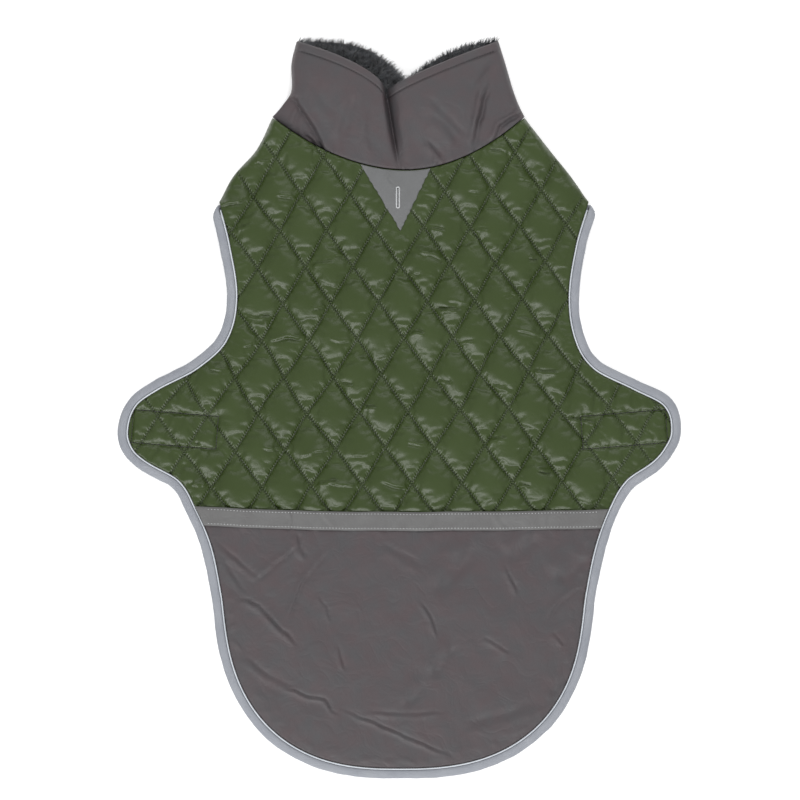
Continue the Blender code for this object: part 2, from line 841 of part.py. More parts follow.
def make_collar(collection):
    """The collar's shell and, inside it, its pile lining."""
    shell_outer = [collar_ring(v, 0.0) for v in COLLAR_RINGS]
    shell_inner = [collar_ring(v, COLLAR_SHELL) for v in COLLAR_RINGS]
    loft_collar("collar_shell", shell_outer, shell_inner, "grey shell cloth", collection)
    start = COLLAR_SHELL + SEAM_GAP
    shares = [*COLLAR_RINGS[:-1], PILE_SHARE]
    pile_outer = [collar_ring(v, start) for v in shares]
    pile_inner = [collar_ring(v, start + COLLAR_PILE) for v in shares]
    loft_collar("collar_lining", pile_outer, pile_inner, "dark pile", collection)


def main():
    """Builds the coat."""
    for old in list(bpy.data.objects):
        bpy.data.objects.remove(old)
    coat = collection_of("dog winter coat")
    cutters = collection_of("cutters")
    back = make_back(coat, cutters)
    make_rear(coat)
    make_cross_tape(coat)
    patch = make_patch(coat)
    slit_size = (SLIT_WIDTH, SLIT_LENGTH, 40)
    slit = box_cutter("lead slit", (*SLIT_CENTRE, 10), slit_size, 0, cutters)
    cut(back, slit)
    cut(patch, slit)
    make_closures(coat)
    make_edge_tape(coat)
    make_piping(coat)
    make_chest(coat)
    make_collar(coat)


main()
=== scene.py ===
"""Looks of the dog winter coat: cloth, quilting, pile, tapes, stitches and studio."""

import logging
import math
from collections.abc import Callable
from dataclasses import dataclass, field
from enum import Enum

import bmesh
import bpy
import numpy as np
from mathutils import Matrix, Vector
from mathutils.geometry import delaunay_2d_cdt
from mathutils.kdtree import KDTree


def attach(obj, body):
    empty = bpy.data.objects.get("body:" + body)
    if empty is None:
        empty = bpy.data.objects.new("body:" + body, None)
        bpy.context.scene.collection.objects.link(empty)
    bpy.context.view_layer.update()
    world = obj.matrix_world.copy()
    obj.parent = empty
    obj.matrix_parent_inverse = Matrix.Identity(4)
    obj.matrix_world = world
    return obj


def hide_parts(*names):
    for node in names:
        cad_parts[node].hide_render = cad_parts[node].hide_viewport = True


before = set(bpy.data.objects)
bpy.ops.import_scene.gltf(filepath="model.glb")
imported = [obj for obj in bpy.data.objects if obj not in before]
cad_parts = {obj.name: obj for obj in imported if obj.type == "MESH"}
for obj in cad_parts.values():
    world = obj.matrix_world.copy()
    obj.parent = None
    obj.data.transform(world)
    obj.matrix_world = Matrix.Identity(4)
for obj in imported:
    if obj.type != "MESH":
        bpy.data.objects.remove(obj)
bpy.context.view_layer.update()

log = logging.getLogger("coat")

MM = 0.001
OUTLINE_MIDDLE = (0.22, -0.58, 0.0)
WAIST_END = 207.0
FULL_TURN = 2 * math.pi

Socket = bpy.types.NodeSocket
Piece = bpy.types.Object
Rows = np.ndarray


# ---------------------------------------------------------------- plan of the coat


class Side(Enum):
    """The wearer's sides as seen from above the laid coat."""

    LEFT = -1
    RIGHT = 1


@dataclass(frozen=True)
class Station:
    """Half widths of the coat at one height, in millimetres."""

    name: str
    y: float
    left: float
    right: float


SIDE_SEAM = (
    Station("shoulder corner", 206, 180, 189),
    Station("armhole", 162, 169, 176),
    Station("armhole waist", 110, 162, 169),
    Station("armhole foot", 66, 173, 176),
    Station("wing root", 38, 203, 195),
    Station("wing top", 18, 241, 234),
    Station("wing shoulder", 2, 263, 264),
    Station("wing tip", -24, 271.5, 271.5),
    Station("wing side", -42, 266, 263.5),
    Station("wing heel", -54, 252, 252.5),
    Station("wing foot", -72, 221, 227),
    Station("waist", -100, 204, 210),
    Station("hip", -138, 188, 196),
    Station("upper flank", -186, 178, 186),
    Station("flank", -210, 175, 183),
)
CORNER_Y = SIDE_SEAM[0].y

SHOULDER_FOLD = (
    Station("neck corner", 290, 127, 125),
    Station("yoke", 258, 143, 150),
    Station("shoulder", 232, 166, 171),
    Station("shoulder corner", CORNER_Y, 180, 189),
)

COLLAR_SIDE = (
    Station("seam", 0.0, 127, 125),
    Station("stand", 0.25, 116, 118),
    Station("waist", 0.45, 108, 113),
    Station("upper", 0.75, 108, 106),
    Station("rim", 1.0, 103, 99),
)

CHEST_EDGE = ((148, 203), (127, 187), (111, 162), (92, 136), (52, 117), (0, 112))


def smooth_step(t: Rows) -> Rows:
    """0 below 0, 1 above 1, smooth in between."""
    t = np.clip(t, 0.0, 1.0)
    return t * t * (3 - 2 * t)


def bell(t: Rows) -> Rows:
    """A smooth hill: 1 at 0, and next to nothing past 2."""
    return np.exp(-(t**2))


def smooth_curve(stations: tuple[Station, ...], side: Side) -> tuple[Rows, Rows]:
    """Samples a smooth curve through one side's stations.

    Args:
        stations: The rows, in any order of height.
        side: Which half width to read.

    Returns:
        Heights in rising order, and the half width at each.
    """
    rows = sorted((s.y, s.left if side is Side.LEFT else s.right) for s in stations)
    heights, widths = [], []
    for k in range(len(rows) - 1):
        slopes = []
        for i in (k, k + 1):
            low, high = rows[max(i - 1, 0)], rows[min(i + 1, len(rows) - 1)]
            slopes.append((high[1] - low[1]) / (high[0] - low[0]))
        (y0, v0), (y1, v1) = rows[k], rows[k + 1]
        t = np.linspace(0, 1, 60, endpoint=k == len(rows) - 2)
        heights.append(y0 + (y1 - y0) * t)
        widths.append(
            (2 * t**3 - 3 * t**2 + 1) * v0
            + (t**3 - 2 * t**2 + t) * (y1 - y0) * slopes[0]
            + (3 * t**2 - 2 * t**3) * v1
            + (t**3 - t**2) * (y1 - y0) * slopes[1]
        )
    return np.concatenate(heights), np.concatenate(widths)


@dataclass
class CoatPlan:
    """The coat's outline and the ground under each of its layers, in millimetres."""

    hem_centre_y: float = -210
    hem_depth: float = 150.5
    hem_power: float = 2.6
    hem_taper: float = 0.12
    neck_y_corner: float = 290
    neck_depth: float = 53
    neck_power: float = 1.95
    neck_middle: float = 0.53
    waist_y: float = -113.5
    waist_rise_left: float = 6.0
    waist_rise_right: float = 2.6
    chest_lift: float = 4.8
    chest_top_y: float = 208
    chest_half: tuple[float, float] = (172, 108)
    chest_power: float = 1.9
    collar_lift: float = 16.0
    quilt: float = 4.5
    curves: dict = field(default_factory=dict)

    def __post_init__(self) -> None:
        """Samples the station tables once."""
        tables = {"seam": SIDE_SEAM, "fold": SHOULDER_FOLD, "collar": COLLAR_SIDE}
        self.curves = {(key, side): smooth_curve(tables[key], side) for key in tables for side in Side}

    @property
    def hem_y(self) -> float:
        """Y of the hem's lowest point."""
        return self.hem_centre_y - self.hem_depth

    def side_x(self, y: Rows | float, side: Side) -> Rows:
        """X of the cut edge.

        Args:
            y: Heights on the plan.
            side: Which edge.

        Returns:
            X at each height.
        """
        y = np.asarray(y, float)
        seam = np.interp(y, *self.curves["seam", side])
        fold = np.interp(y, *self.curves["fold", side])
        sunk = np.clip((self.hem_centre_y - y) / self.hem_depth, 0, 1)
        half = self.curves["seam", side][1][0] - self.hem_taper * sunk * self.hem_depth
        hem = half * (1 - sunk**self.hem_power) ** (1 / self.hem_power)
        width = np.where(y > CORNER_Y, fold, np.where(y < self.hem_centre_y, hem, seam))
        return side.value * width

    def neck_y(self, x: Rows | float) -> Rows:
        """Y of the neckline at each x."""
        left, right = SHOULDER_FOLD[0].left, SHOULDER_FOLD[0].right
        share = np.clip((np.asarray(x, float) + left) / (left + right), 0, 1)
        middle = self.neck_middle
        away = np.where(share < middle, (middle - share) / middle, (share - middle) / (1 - middle))
        return self.neck_y_corner - self.neck_depth * (1 - away**self.neck_power)

    def waist_seam_y(self, x: Rows | float) -> Rows:
        """Y of the waist seam at each x."""
        across = np.asarray(x, float) / WAIST_END
        rise = np.where(across < 0, self.waist_rise_left, self.waist_rise_right)
        return self.waist_y + rise * across**2

    def lift(self, x: Rows, y: Rows) -> Rows:
        """Height of the back's underside: over the chest panel, and up to the collar.

        Args:
            x: X of each point.
            y: Y of each point.

        Returns:
            The heights.
        """
        wide, tall = self.chest_half
        down = np.maximum(0.0, self.chest_top_y - y) / tall
        out = np.abs(x - 3) / wide
        power = self.chest_power
        reach = np.where(down > 0, (out**power + down**power) ** (1 / power), 0.0)
        over_chest = self.chest_lift * (1 - smooth_step((reach - 1.12) / 0.38))
        to_collar = 1 - smooth_step((self.neck_y(x) - y) / 70)
        return over_chest + (self.collar_lift - self.quilt - self.chest_lift) * to_collar

    def edge(self, side: Side, top: float, bottom: float, step: float) -> Rows:
        """Points on the cut edge from one height down to another.

        Args:
            side: Which edge.
            top: The height to start at.
            bottom: The height to end at.
            step: Distance between points.

        Returns:
            The plan points.
        """
        y = np.linspace(top, bottom, 4000)
        return spaced(np.stack([self.side_x(y, side), y], 1), step)

    def curve(self, run: Callable, start: float, end: float, step: float, shift: float = 0.0) -> Rows:
        """Points on the waist seam or the neckline from one x to another.

        Args:
            run: The plan's method that gives y at each x.
            start: X to start at.
            end: X to end at.
            step: Distance between points.
            shift: How far the line is moved up.

        Returns:
            The plan points.
        """
        x = np.linspace(start, end, 600)
        return spaced(np.stack([x, run(x) + shift], 1), step)


def spaced(line: Rows, step: float) -> Rows:
    """The same line with its points evenly apart.

    Args:
        line: Points in two or three dimensions.
        step: About how far apart they should be.

    Returns:
        The new points.
    """
    lengths = np.linalg.norm(np.diff(line, axis=0), axis=1)
    along = np.concatenate([[0.0], np.cumsum(lengths)])
    at = np.linspace(0, along[-1], max(2, round(along[-1] / step) + 1))
    return np.stack([np.interp(at, along, line[:, k]) for k in range(line.shape[1])], 1)


def closed(loop: Rows) -> Rows:
    """A loop with its first point again at its end."""
    return np.concatenate([loop, loop[:1]])


def inside(points: Rows, loop: Rows) -> Rows:
    """Tells which plan points lie inside a closed loop.

    Args:
        points: The points.
        loop: The loop's corners.

    Returns:
        True or False for each point.
    """
    x, y = points[:, 0], points[:, 1]
    odd = np.zeros(len(points), bool)
    for (x0, y0), (x1, y1) in zip(loop, np.roll(loop, -1, axis=0)):
        if y0 != y1:
            odd ^= ((y0 > y) != (y1 > y)) & (x < (x1 - x0) * (y - y0) / (y1 - y0) + x0)
    return odd


def distance(points: Rows, others: Rows) -> Rows:
    """How far each plan point is from the nearest of some others.

    Args:
        points: The points.
        others: The points to search.

    Returns:
        The distances.
    """
    tree = KDTree(len(others))
    for i, p in enumerate(others):
        tree.insert((p[0], p[1], 0.0), i)
    tree.balance()
    return np.array([tree.find((p[0], p[1], 0.0))[2] for p in points])


def wave_noise(x: Rows, y: Rows, size: float, seed: int) -> Rows:
    """Smooth, seeded unevenness.

    Args:
        x: X of each point.
        y: Y of each point.
        size: About how wide a bump is.
        seed: The seed of the bumps' places.

    Returns:
        Values from about -1 to 1.
    """
    rng = np.random.default_rng(seed)
    total = np.zeros_like(np.asarray(x, float))
    for _ in range(9):
        turn, phase = rng.uniform(0, FULL_TURN, 2)
        pitch = size * rng.uniform(0.7, 1.8)
        total += np.sin((x * math.cos(turn) + y * math.sin(turn)) * 2 * math.pi / pitch + phase)
    return total / 4.5


def right_of(line: Rows) -> Rows:
    """Unit vectors to the right of a line's heading, one for each of its points."""
    along = np.gradient(line, axis=0)
    normal = np.stack([along[:, 1], -along[:, 0]], 1)
    return normal / np.maximum(np.linalg.norm(normal, axis=1), 1e-9)[:, None]


@dataclass(frozen=True)
class Crease:
    """A fold line of the cloth: a trough with a soft ridge along its right side."""

    name: str
    path: tuple[tuple[float, float], ...]
    depth: float
    width: float
    ridge: float = 0.5
    waver: float = 0.7

    def height(self, x: Rows, y: Rows) -> Rows:
        """How far the crease moves the cloth up or down.

        Args:
            x: X of each point.
            y: Y of each point.

        Returns:
            The change of height at each point.
        """
        knots = np.array(self.path, float)
        x, y = x + self.waver * wave_noise(x, y, 15, 3), y + self.waver * wave_noise(x, y, 15, 4)
        margin = 5 * self.width + 2
        low, high = knots.min(0) - margin, knots.max(0) + margin
        near = (x > low[0]) & (x < high[0]) & (y > low[1]) & (y < high[1])
        moved = np.zeros(len(x))
        if near.any():
            moved[near] = self.profile(x[near], y[near])
        return moved

    def rows(self, step: float) -> Rows:
        """Points along the crease and beside it, a step apart."""
        line = spaced(np.array(self.path, float), step)
        return np.concatenate([line + right_of(line) * step * k for k in (-1, 0, 1, 2, 3)])

    def profile(self, x: Rows, y: Rows) -> Rows:
        """The crease's own height.

        Args:
            x: X of each point near the crease.
            y: Y of each point near the crease.

        Returns:
            The height at each point.
        """
        line = spaced(np.array(self.path, float), 3.0)
        best = np.full(len(x), 1e9)
        signed, share = np.zeros(len(x)), np.zeros(len(x))
        for k in range(len(line) - 1):
            a, d = line[k], line[k + 1] - line[k]
            size = float(np.hypot(*d))
            along = np.clip(((x - a[0]) * d[0] + (y - a[1]) * d[1]) / size**2, 0, 1)
            dx, dy = x - a[0] - along * d[0], y - a[1] - along * d[1]
            far = np.hypot(dx, dy)
            near = far < best
            best = np.where(near, far, best)
            signed = np.where(near, far * np.sign(d[1] * dx - d[0] * dy), signed)
            share = np.where(near, (k + along) / (len(line) - 1), share)
        fade = smooth_step(share * 4) * smooth_step((1 - share) * 4)
        fade *= 1 + 0.35 * wave_noise(x, y, 26, 6)
        ridge = self.ridge * self.depth * bell((signed - 1.9 * self.width) / (1.7 * self.width))
        return (-self.depth * bell(signed / self.width) + ridge) * fade


# ---------------------------------------------------------------- meshes


def link(name: str, data: bpy.types.ID) -> Piece:
    """A new object of that data in the scene."""
    made = bpy.data.objects.new(name, data)
    bpy.context.scene.collection.objects.link(made)
    return made


def smooth(mesh: bpy.types.Mesh) -> None:
    """Shades every face smooth."""
    mesh.polygons.foreach_set("use_smooth", [True] * len(mesh.polygons))


def put_mesh(name: str, points: Rows, faces: list, edges: tuple | list = ()) -> Piece:
    """A mesh object at the origin from points in millimetres on the plan.

    Args:
        name: The piece's name.
        points: Plan coordinates and heights.
        faces: Corner numbers of each face.
        edges: Corner numbers of each loose edge.

    Returns:
        The new object.
    """
    placed = (np.asarray(points, float) - OUTLINE_MIDDLE) * MM
    mesh = bpy.data.meshes.new(name)
    mesh.from_pydata(placed.tolist(), edges, faces)
    mesh.update()
    smooth(mesh)
    return link(name, mesh)


def put_closed(name: str, points: Rows, faces: list) -> Piece:
    """A closed mesh object whose faces all point outwards.

    Args:
        name: The piece's name.
        points: Plan coordinates and heights.
        faces: Corner numbers of each face, turned either way.

    Returns:
        The new object.
    """
    made = put_mesh(name, points, faces)
    shape = bmesh.new()
    shape.from_mesh(made.data)
    bmesh.ops.recalc_face_normals(shape, faces=shape.faces)
    shape.to_mesh(made.data)
    shape.free()
    return made


def between(first: list, second: list) -> list:
    """Faces that join two rings of corner numbers of equal length."""
    return list(zip(first, second, second[1:] + second[:1], first[1:] + first[:1]))


def grid_faces(grid: Rows) -> list:
    """Faces between the rows and columns of a table of corner numbers."""
    quads = np.stack([grid[:-1, :-1], grid[:-1, 1:], grid[1:, 1:], grid[1:, :-1]], -1)
    return quads.reshape(-1, 4).tolist()


def ring_numbers(count: int, size: int) -> list:
    """Corner numbers of rings of equal length that follow each other."""
    return np.arange(count * size).reshape(count, size).tolist()


@dataclass
class PlanMesh:
    """A triangulated plan area with sewn lines in it."""

    points: Rows
    triangles: list
    rim: list
    lines: list

    @classmethod
    def fill(
        cls, loop: Rows, lines: list, step: float, seed: int, flank: float = 0.0, loose: tuple = ()
    ) -> "PlanMesh":
        """Triangulates the inside of a loop, with every line's points among its corners.

        Args:
            loop: The closed outline.
            lines: Open lines to keep as edges, inside the outline.
            step: Distance between the free points.
            seed: Seed of the free points' unevenness.
            flank: Distance of two extra rows beside each line, or 0 for none.
            loose: Arrays of further points to crowd the mesh where folds will lie.

        Returns:
            The filled area.
        """
        store: dict = {}

        def corner(p: Rows) -> int:
            """The number of the corner at a point."""
            return store.setdefault((round(float(p[0]), 2), round(float(p[1]), 2)), len(store))

        rim = [corner(p) for p in loop]
        kept = [[corner(p) for p in line] for line in lines]
        edges = list(zip(rim, rim[1:] + rim[:1]))
        edges += [(a, b) for ids in kept for a, b in zip(ids, ids[1:]) if a != b]
        fixed = np.array(list(store))
        if flank:
            rows = [line + right_of(line) * side for line in lines for side in (flank, -flank)]
            extra = np.concatenate([*rows, *loose])
            extra = extra[inside(extra, loop)]
            extra = extra[distance(extra, fixed) > 0.8 * flank]
            _, first = np.unique(np.round(extra / flank), axis=0, return_index=True)
            placed = np.concatenate([fixed, extra[np.sort(first)]])
        else:
            placed = fixed
        low, high = loop.min(0), loop.max(0)
        rows = np.arange(low[1] + step / 2, high[1], step * 0.866)
        gx, gy = np.meshgrid(np.arange(low[0] + step / 2, high[0], step), rows)
        gx = gx + (np.arange(len(rows)) % 2)[:, None] * step / 2
        free = np.stack([gx.ravel(), gy.ravel()], 1)
        free += np.random.default_rng(seed).uniform(-0.1 * step, 0.1 * step, free.shape)
        free = free[inside(free, loop)]
        free = free[distance(free, placed) > 0.6 * step]
        joined = [Vector(p) for p in np.concatenate([placed, free])]
        found, _, triangles, origins, _, _ = delaunay_2d_cdt(joined, edges, [], 1, 1e-5)
        where = {old: new for new, olds in enumerate(origins) for old in olds}
        return cls(
            points=np.array([tuple(p) for p in found]),
            triangles=[tuple(t) for t in triangles],
            rim=[where[i] for i in rim],
            lines=[[where[i] for i in ids] for ids in kept],
        )

    @property
    def xy(self) -> tuple[Rows, Rows]:
        """X and y of the points."""
        return self.points[:, 0], self.points[:, 1]

    def rim_distance(self) -> Rows:
        """How far each point is from the rim."""
        return distance(self.points, self.points[self.rim])

    def close(self, top: Rows, under: "PlanMesh", under_z: Rows) -> tuple[Rows, list]:
        """Joins this area's upper surface to a lower one round their shared rim.

        Args:
            top: The upper surface's points.
            under: The lower surface's plan, whose rim has the same points.
            under_z: Heights of the lower surface's points.

        Returns:
            The points and faces of the closed mesh.
        """
        base = len(top)
        low = np.column_stack([under.points, under_z])
        turned = [tuple(base + i for i in reversed(t)) for t in under.triangles]
        faces = [*self.triangles, *turned, *between(self.rim, [base + i for i in under.rim])]
        return np.concatenate([top, low]), faces


def sections_mesh(name: str, sections: list, ring: bool) -> Piece:
    """A piece through closed sections of equal length.

    Args:
        name: The piece's name.
        sections: The points of each section.
        ring: True if the last section joins the first, False for two flat ends.

    Returns:
        The new object.
    """
    rings = ring_numbers(len(sections), len(sections[0]))
    follow = rings[1:] + rings[:1] if ring else rings[1:]
    faces = [face for a, b in zip(rings, follow) for face in between(a, b)]
    if not ring:
        faces += [rings[0], rings[-1][::-1]]
    return put_closed(name, np.array([p for section in sections for p in section], float), faces)


# ---------------------------------------------------------------- materials


class NodeSketch:
    """Short ways to add nodes to a tree."""

    def __init__(self, tree: bpy.types.NodeTree) -> None:
        """Keeps the tree."""
        self.tree = tree

    def feed(self, socket: Socket, value: object) -> None:
        """Links a socket, or sets its value."""
        if isinstance(value, Socket):
            self.tree.links.new(value, socket)
        else:
            socket.default_value = value

    def add(self, kind: str, fed: dict | None = None, **settings: object) -> bpy.types.Node:
        """Adds a node.

        Args:
            kind: Its type.
            fed: What its inputs get, by name or number: sockets or values.
            settings: Its properties.

        Returns:
            The new node.
        """
        node = self.tree.nodes.new(kind)
        for key, value in settings.items():
            setattr(node, key, value)
        for key, value in (fed or {}).items():
            self.feed(node.inputs[key], value)
        return node

    def get(self, kind: str, fed: dict | None = None, **settings: object) -> Socket:
        """The first output of a new node."""
        return self.add(kind, fed, **settings).outputs[0]

    def math(self, operation: str, *values: object) -> Socket:
        """One Math node's result."""
        return self.get("ShaderNodeMath", dict(enumerate(values)), operation=operation)

    def vector(self, operation: str, *values: object) -> Socket:
        """One Vector Math node's vector."""
        return self.get("ShaderNodeVectorMath", dict(enumerate(values)), operation=operation)

    def split(self, vector: Socket) -> bpy.types.NodeOutputs:
        """X, y and z of a vector."""
        return self.add("ShaderNodeSeparateXYZ", {0: vector}).outputs

    def joined(self, *values: object) -> Socket:
        """A vector of x, y and z."""
        return self.get("ShaderNodeCombineXYZ", dict(enumerate(values)))

    def noise(self, vector: Socket, scale: object, detail: float, distortion: float = 0.0) -> Socket:
        """A Noise Texture's factor."""
        fed = {"Vector": vector, "Scale": scale, "Detail": detail, "Distortion": distortion}
        return self.get("ShaderNodeTexNoise", fed)

    def span(self, value: Socket, low: float, high: float) -> Socket:
        """Maps 0.3 to 0.7 of a noise onto low to high."""
        return self.get("ShaderNodeMapRange", {0: value, 1: 0.3, 2: 0.7, 3: low, 4: high})

    def mix(self, share: object, a: object, b: object) -> Socket:
        """A mix of two colours."""
        node = self.add("ShaderNodeMix", data_type="RGBA")
        for key, value in ((0, share), (6, a), (7, b)):
            self.feed(node.inputs[key], value)
        return node.outputs[2]

    def bump(self, height: Socket, distance_m: float, normal: Socket | None) -> Socket:
        """A bump of that height in metres over another normal, or over none."""
        fed = {"Strength": 1.0, "Distance": distance_m, "Height": height}
        return self.get("ShaderNodeBump", fed if normal is None else {**fed, "Normal": normal})

    def place(self) -> Socket:
        """Object coordinates."""
        return self.add("ShaderNodeTexCoord").outputs["Object"]


class NamedTree(NodeSketch):
    """A node tree of its own, with named inputs and outputs."""

    def __init__(self, name: str, kind: str, inputs: dict, outputs: dict) -> None:
        """Makes the tree.

        Args:
            name: The tree's name.
            kind: Its type.
            inputs: For each input's name, its kind of socket and its value.
            outputs: The same for the outputs.
        """
        tree = bpy.data.node_groups.new(name, kind)
        for way, sockets in (("INPUT", inputs), ("OUTPUT", outputs)):
            for label, (socket, value) in sockets.items():
                made = tree.interface.new_socket(label, in_out=way, socket_type="NodeSocket" + socket)
                if value is not None:
                    made.default_value = value
        super().__init__(tree)
        self.come = self.add("NodeGroupInput").outputs
        self.go = self.add("NodeGroupOutput").inputs


class SharedEffects:
    """Shader node groups that several finishes use."""

    def __init__(self) -> None:
        """Builds each group once."""
        self.weave = self._weave()
        self.drift = self._drift()
        self.crinkle = self._crinkle()
        self.sewn_line = self._sewn_line()

    @staticmethod
    def _group(name: str, inputs: dict, outputs: tuple) -> NamedTree:
        """A new shader group at places on the piece; numbers stand for plain inputs."""
        sockets = {"Place": ("Vector", None)} if "Across" not in inputs else {}
        for label, value in inputs.items():
            sockets[label] = ("Color", None) if value is None else ("Float", value)
        kinds = {label: ("Color" if label == "Color" else "Float", None) for label in outputs}
        return NamedTree(name, "ShaderNodeTree", sockets, kinds)

    def _weave(self) -> bpy.types.NodeTree:
        """Over and under threads of a plain cloth, as a height from 0 to 1."""
        s = self._group("plain weave", {"Threads": 2500.0}, ("Height",))
        place = s.split(s.come["Place"])
        ups = [s.math("SINE", s.math("MULTIPLY", place[axis], s.come["Threads"])) for axis in (0, 1)]
        s.feed(s.go["Height"], s.math("MULTIPLY_ADD", s.math("MULTIPLY", *ups), 0.5))
        return s.tree

    def _drift(self) -> bpy.types.NodeTree:
        """Slow change of a colour between two shades."""
        s = self._group("shade drift", {"Dark": None, "Light": None, "Size": 30.0}, ("Color",))
        share = s.span(s.noise(s.come["Place"], s.come["Size"], 4.0), 0.0, 1.0)
        s.feed(s.go["Color"], s.mix(share, s.come["Dark"], s.come["Light"]))
        return s.tree

    def _crinkle(self) -> bpy.types.NodeTree:
        """Fine crumples of a thin coated cloth, as a height from 0 to 1."""
        s = self._group("fine crinkle", {"Size": 90.0, "Sharpness": 0.5}, ("Height",))
        broad = s.noise(s.come["Place"], s.come["Size"], 3.0, 0.6)
        centred = s.math("ABSOLUTE", s.math("SUBTRACT", broad, 0.5))
        s.feed(s.go["Height"], s.math("POWER", s.math("MULTIPLY", centred, 2.0), s.come["Sharpness"]))
        return s.tree

    def _sewn_line(self) -> bpy.types.NodeTree:
        """Pinched cloth beside a row of stitches, and a mask of painted shade along the line, from across
        and along counts.
        """
        inputs = {"Across": 0.0, "Along": 0.0, "Spacing": 40.6, "Stitches": 16.0, "Reach": 2.4}
        s = self._group("sewn line", inputs, ("Height", "Line"))
        off = s.math("SUBTRACT", s.come["Across"], s.math("ROUND", s.come["Across"]))
        away = s.math("ABSOLUTE", s.math("MULTIPLY", off, s.come["Spacing"]))
        turns = s.math("MULTIPLY", s.come["Along"], s.come["Stitches"])
        pulse = s.math("COSINE", s.math("MULTIPLY", turns, FULL_TURN))
        hills = []
        for reach in (s.come["Reach"], 0.9):
            far = s.math("DIVIDE", away, reach)
            hills.append(s.math("EXPONENT", s.math("MULTIPLY", s.math("MULTIPLY", far, far), -1.0)))
        s.feed(s.go["Height"], s.math("MULTIPLY", s.math("MULTIPLY", pulse, 0.5), hills[0]))
        # The narrow hill is the mask of painted shade in the sewn line's groove.
        s.feed(s.go["Line"], hills[1])
        return s.tree


Colour = tuple[float, float, float]


@dataclass(frozen=True)
class ClothFinish:
    """A woven cloth's colour, gloss and small relief."""

    name: str
    dark: Colour
    light: Colour
    roughness: tuple[float, float]
    specular: float = 0.5
    drift_size: float = 25.0
    threads: float = 5200.0
    weave_bump: float = 0.0001
    crinkle_size: float = 60.0
    crinkle_bump: float = 0.0002
    sewn: bool = False

    def build(self, effects: SharedEffects) -> bpy.types.Material:
        """Builds the material.

        Args:
            effects: The shared node groups.

        Returns:
            The new material.
        """
        material = bpy.data.materials.new(self.name)
        material.use_nodes = True
        s = NodeSketch(material.node_tree)
        place = s.place()
        shades = {"Dark": (*self.dark, 1), "Light": (*self.light, 1), "Size": self.drift_size}
        crumples = {"Place": place, "Size": self.crinkle_size, "Sharpness": 0.8}
        threads = {"Place": place, "Threads": self.threads}
        colour = s.get("ShaderNodeGroup", {"Place": place, **shades}, node_tree=effects.drift)
        weave = s.get("ShaderNodeGroup", threads, node_tree=effects.weave)
        crinkle = s.get("ShaderNodeGroup", crumples, node_tree=effects.crinkle)
        normal = s.bump(crinkle, self.crinkle_bump, s.bump(weave, self.weave_bump, None))
        if self.sewn:
            colour, normal = self._sew(s, effects, colour, normal)
        shader = material.node_tree.nodes["Principled BSDF"]
        s.feed(shader.inputs["Base Color"], colour)
        s.feed(shader.inputs["Roughness"], s.span(s.noise(place, 140.0, 2.0), *self.roughness))
        s.feed(shader.inputs["Normal"], normal)
        s.feed(shader.inputs["Specular IOR Level"], self.specular)
        return material

    def _sew(self, s: NodeSketch, effects: SharedEffects, colour: Socket, normal: Socket) -> tuple:
        """Paints shade into the sewn lines' grooves and pinches the cloth beside them.

        Args:
            s: The material's tree.
            effects: The shared node groups.
            colour: The cloth's colour.
            normal: The cloth's normal.

        Returns:
            The new colour and normal.
        """
        # Painted shade: the grooves of the sewn lines are darkened towards a third of the cloth's dark
        # colour.
        shade = tuple(0.35 * c for c in self.dark) + (1,)
        count = s.split(s.get("ShaderNodeUVMap", uv_map="quilt lattice"))
        for across, along in ((0, 1), (1, 0)):
            counts = {"Across": count[across], "Along": count[along]}
            line = s.add("ShaderNodeGroup", node_tree=effects.sewn_line)
            for key, value in counts.items():
                s.feed(line.inputs[key], value)
            normal = s.bump(line.outputs["Height"], 0.0004, normal)
            # Mixes the painted groove shade into the colour along each sewn line.
            colour = s.mix(s.math("MULTIPLY", line.outputs["Line"], 0.85), colour, shade)
        return colour, normal


@dataclass(frozen=True)
class PileFinish:
    """Deep pile: dark at its roots and lighter at its tips."""

    name: str = "charcoal pile"
    root: Colour = (0.012, 0.013, 0.015)
    tip: Colour = (0.155, 0.168, 0.188)

    def build(self) -> bpy.types.Material:
        """Builds the material."""
        material = bpy.data.materials.new(self.name)
        material.use_nodes = True
        s = NodeSketch(material.node_tree)
        along = s.add("ShaderNodeAttribute", attribute_name="tip share").outputs["Fac"]
        shade = s.add("ShaderNodeAttribute", attribute_name="tuft shade").outputs["Fac"]
        clump = s.span(s.noise(s.place(), 160.0, 2.0), 0.35, 1.0)
        share = s.math("MULTIPLY", s.math("MULTIPLY", s.math("POWER", along, 1.4), clump), shade)
        shader = material.node_tree.nodes["Principled BSDF"]
        s.feed(shader.inputs["Base Color"], s.mix(share, (*self.root, 1), (*self.tip, 1)))
        s.feed(shader.inputs["Roughness"], 0.75)
        s.feed(shader.inputs["Sheen Weight"], 0.25)
        return material


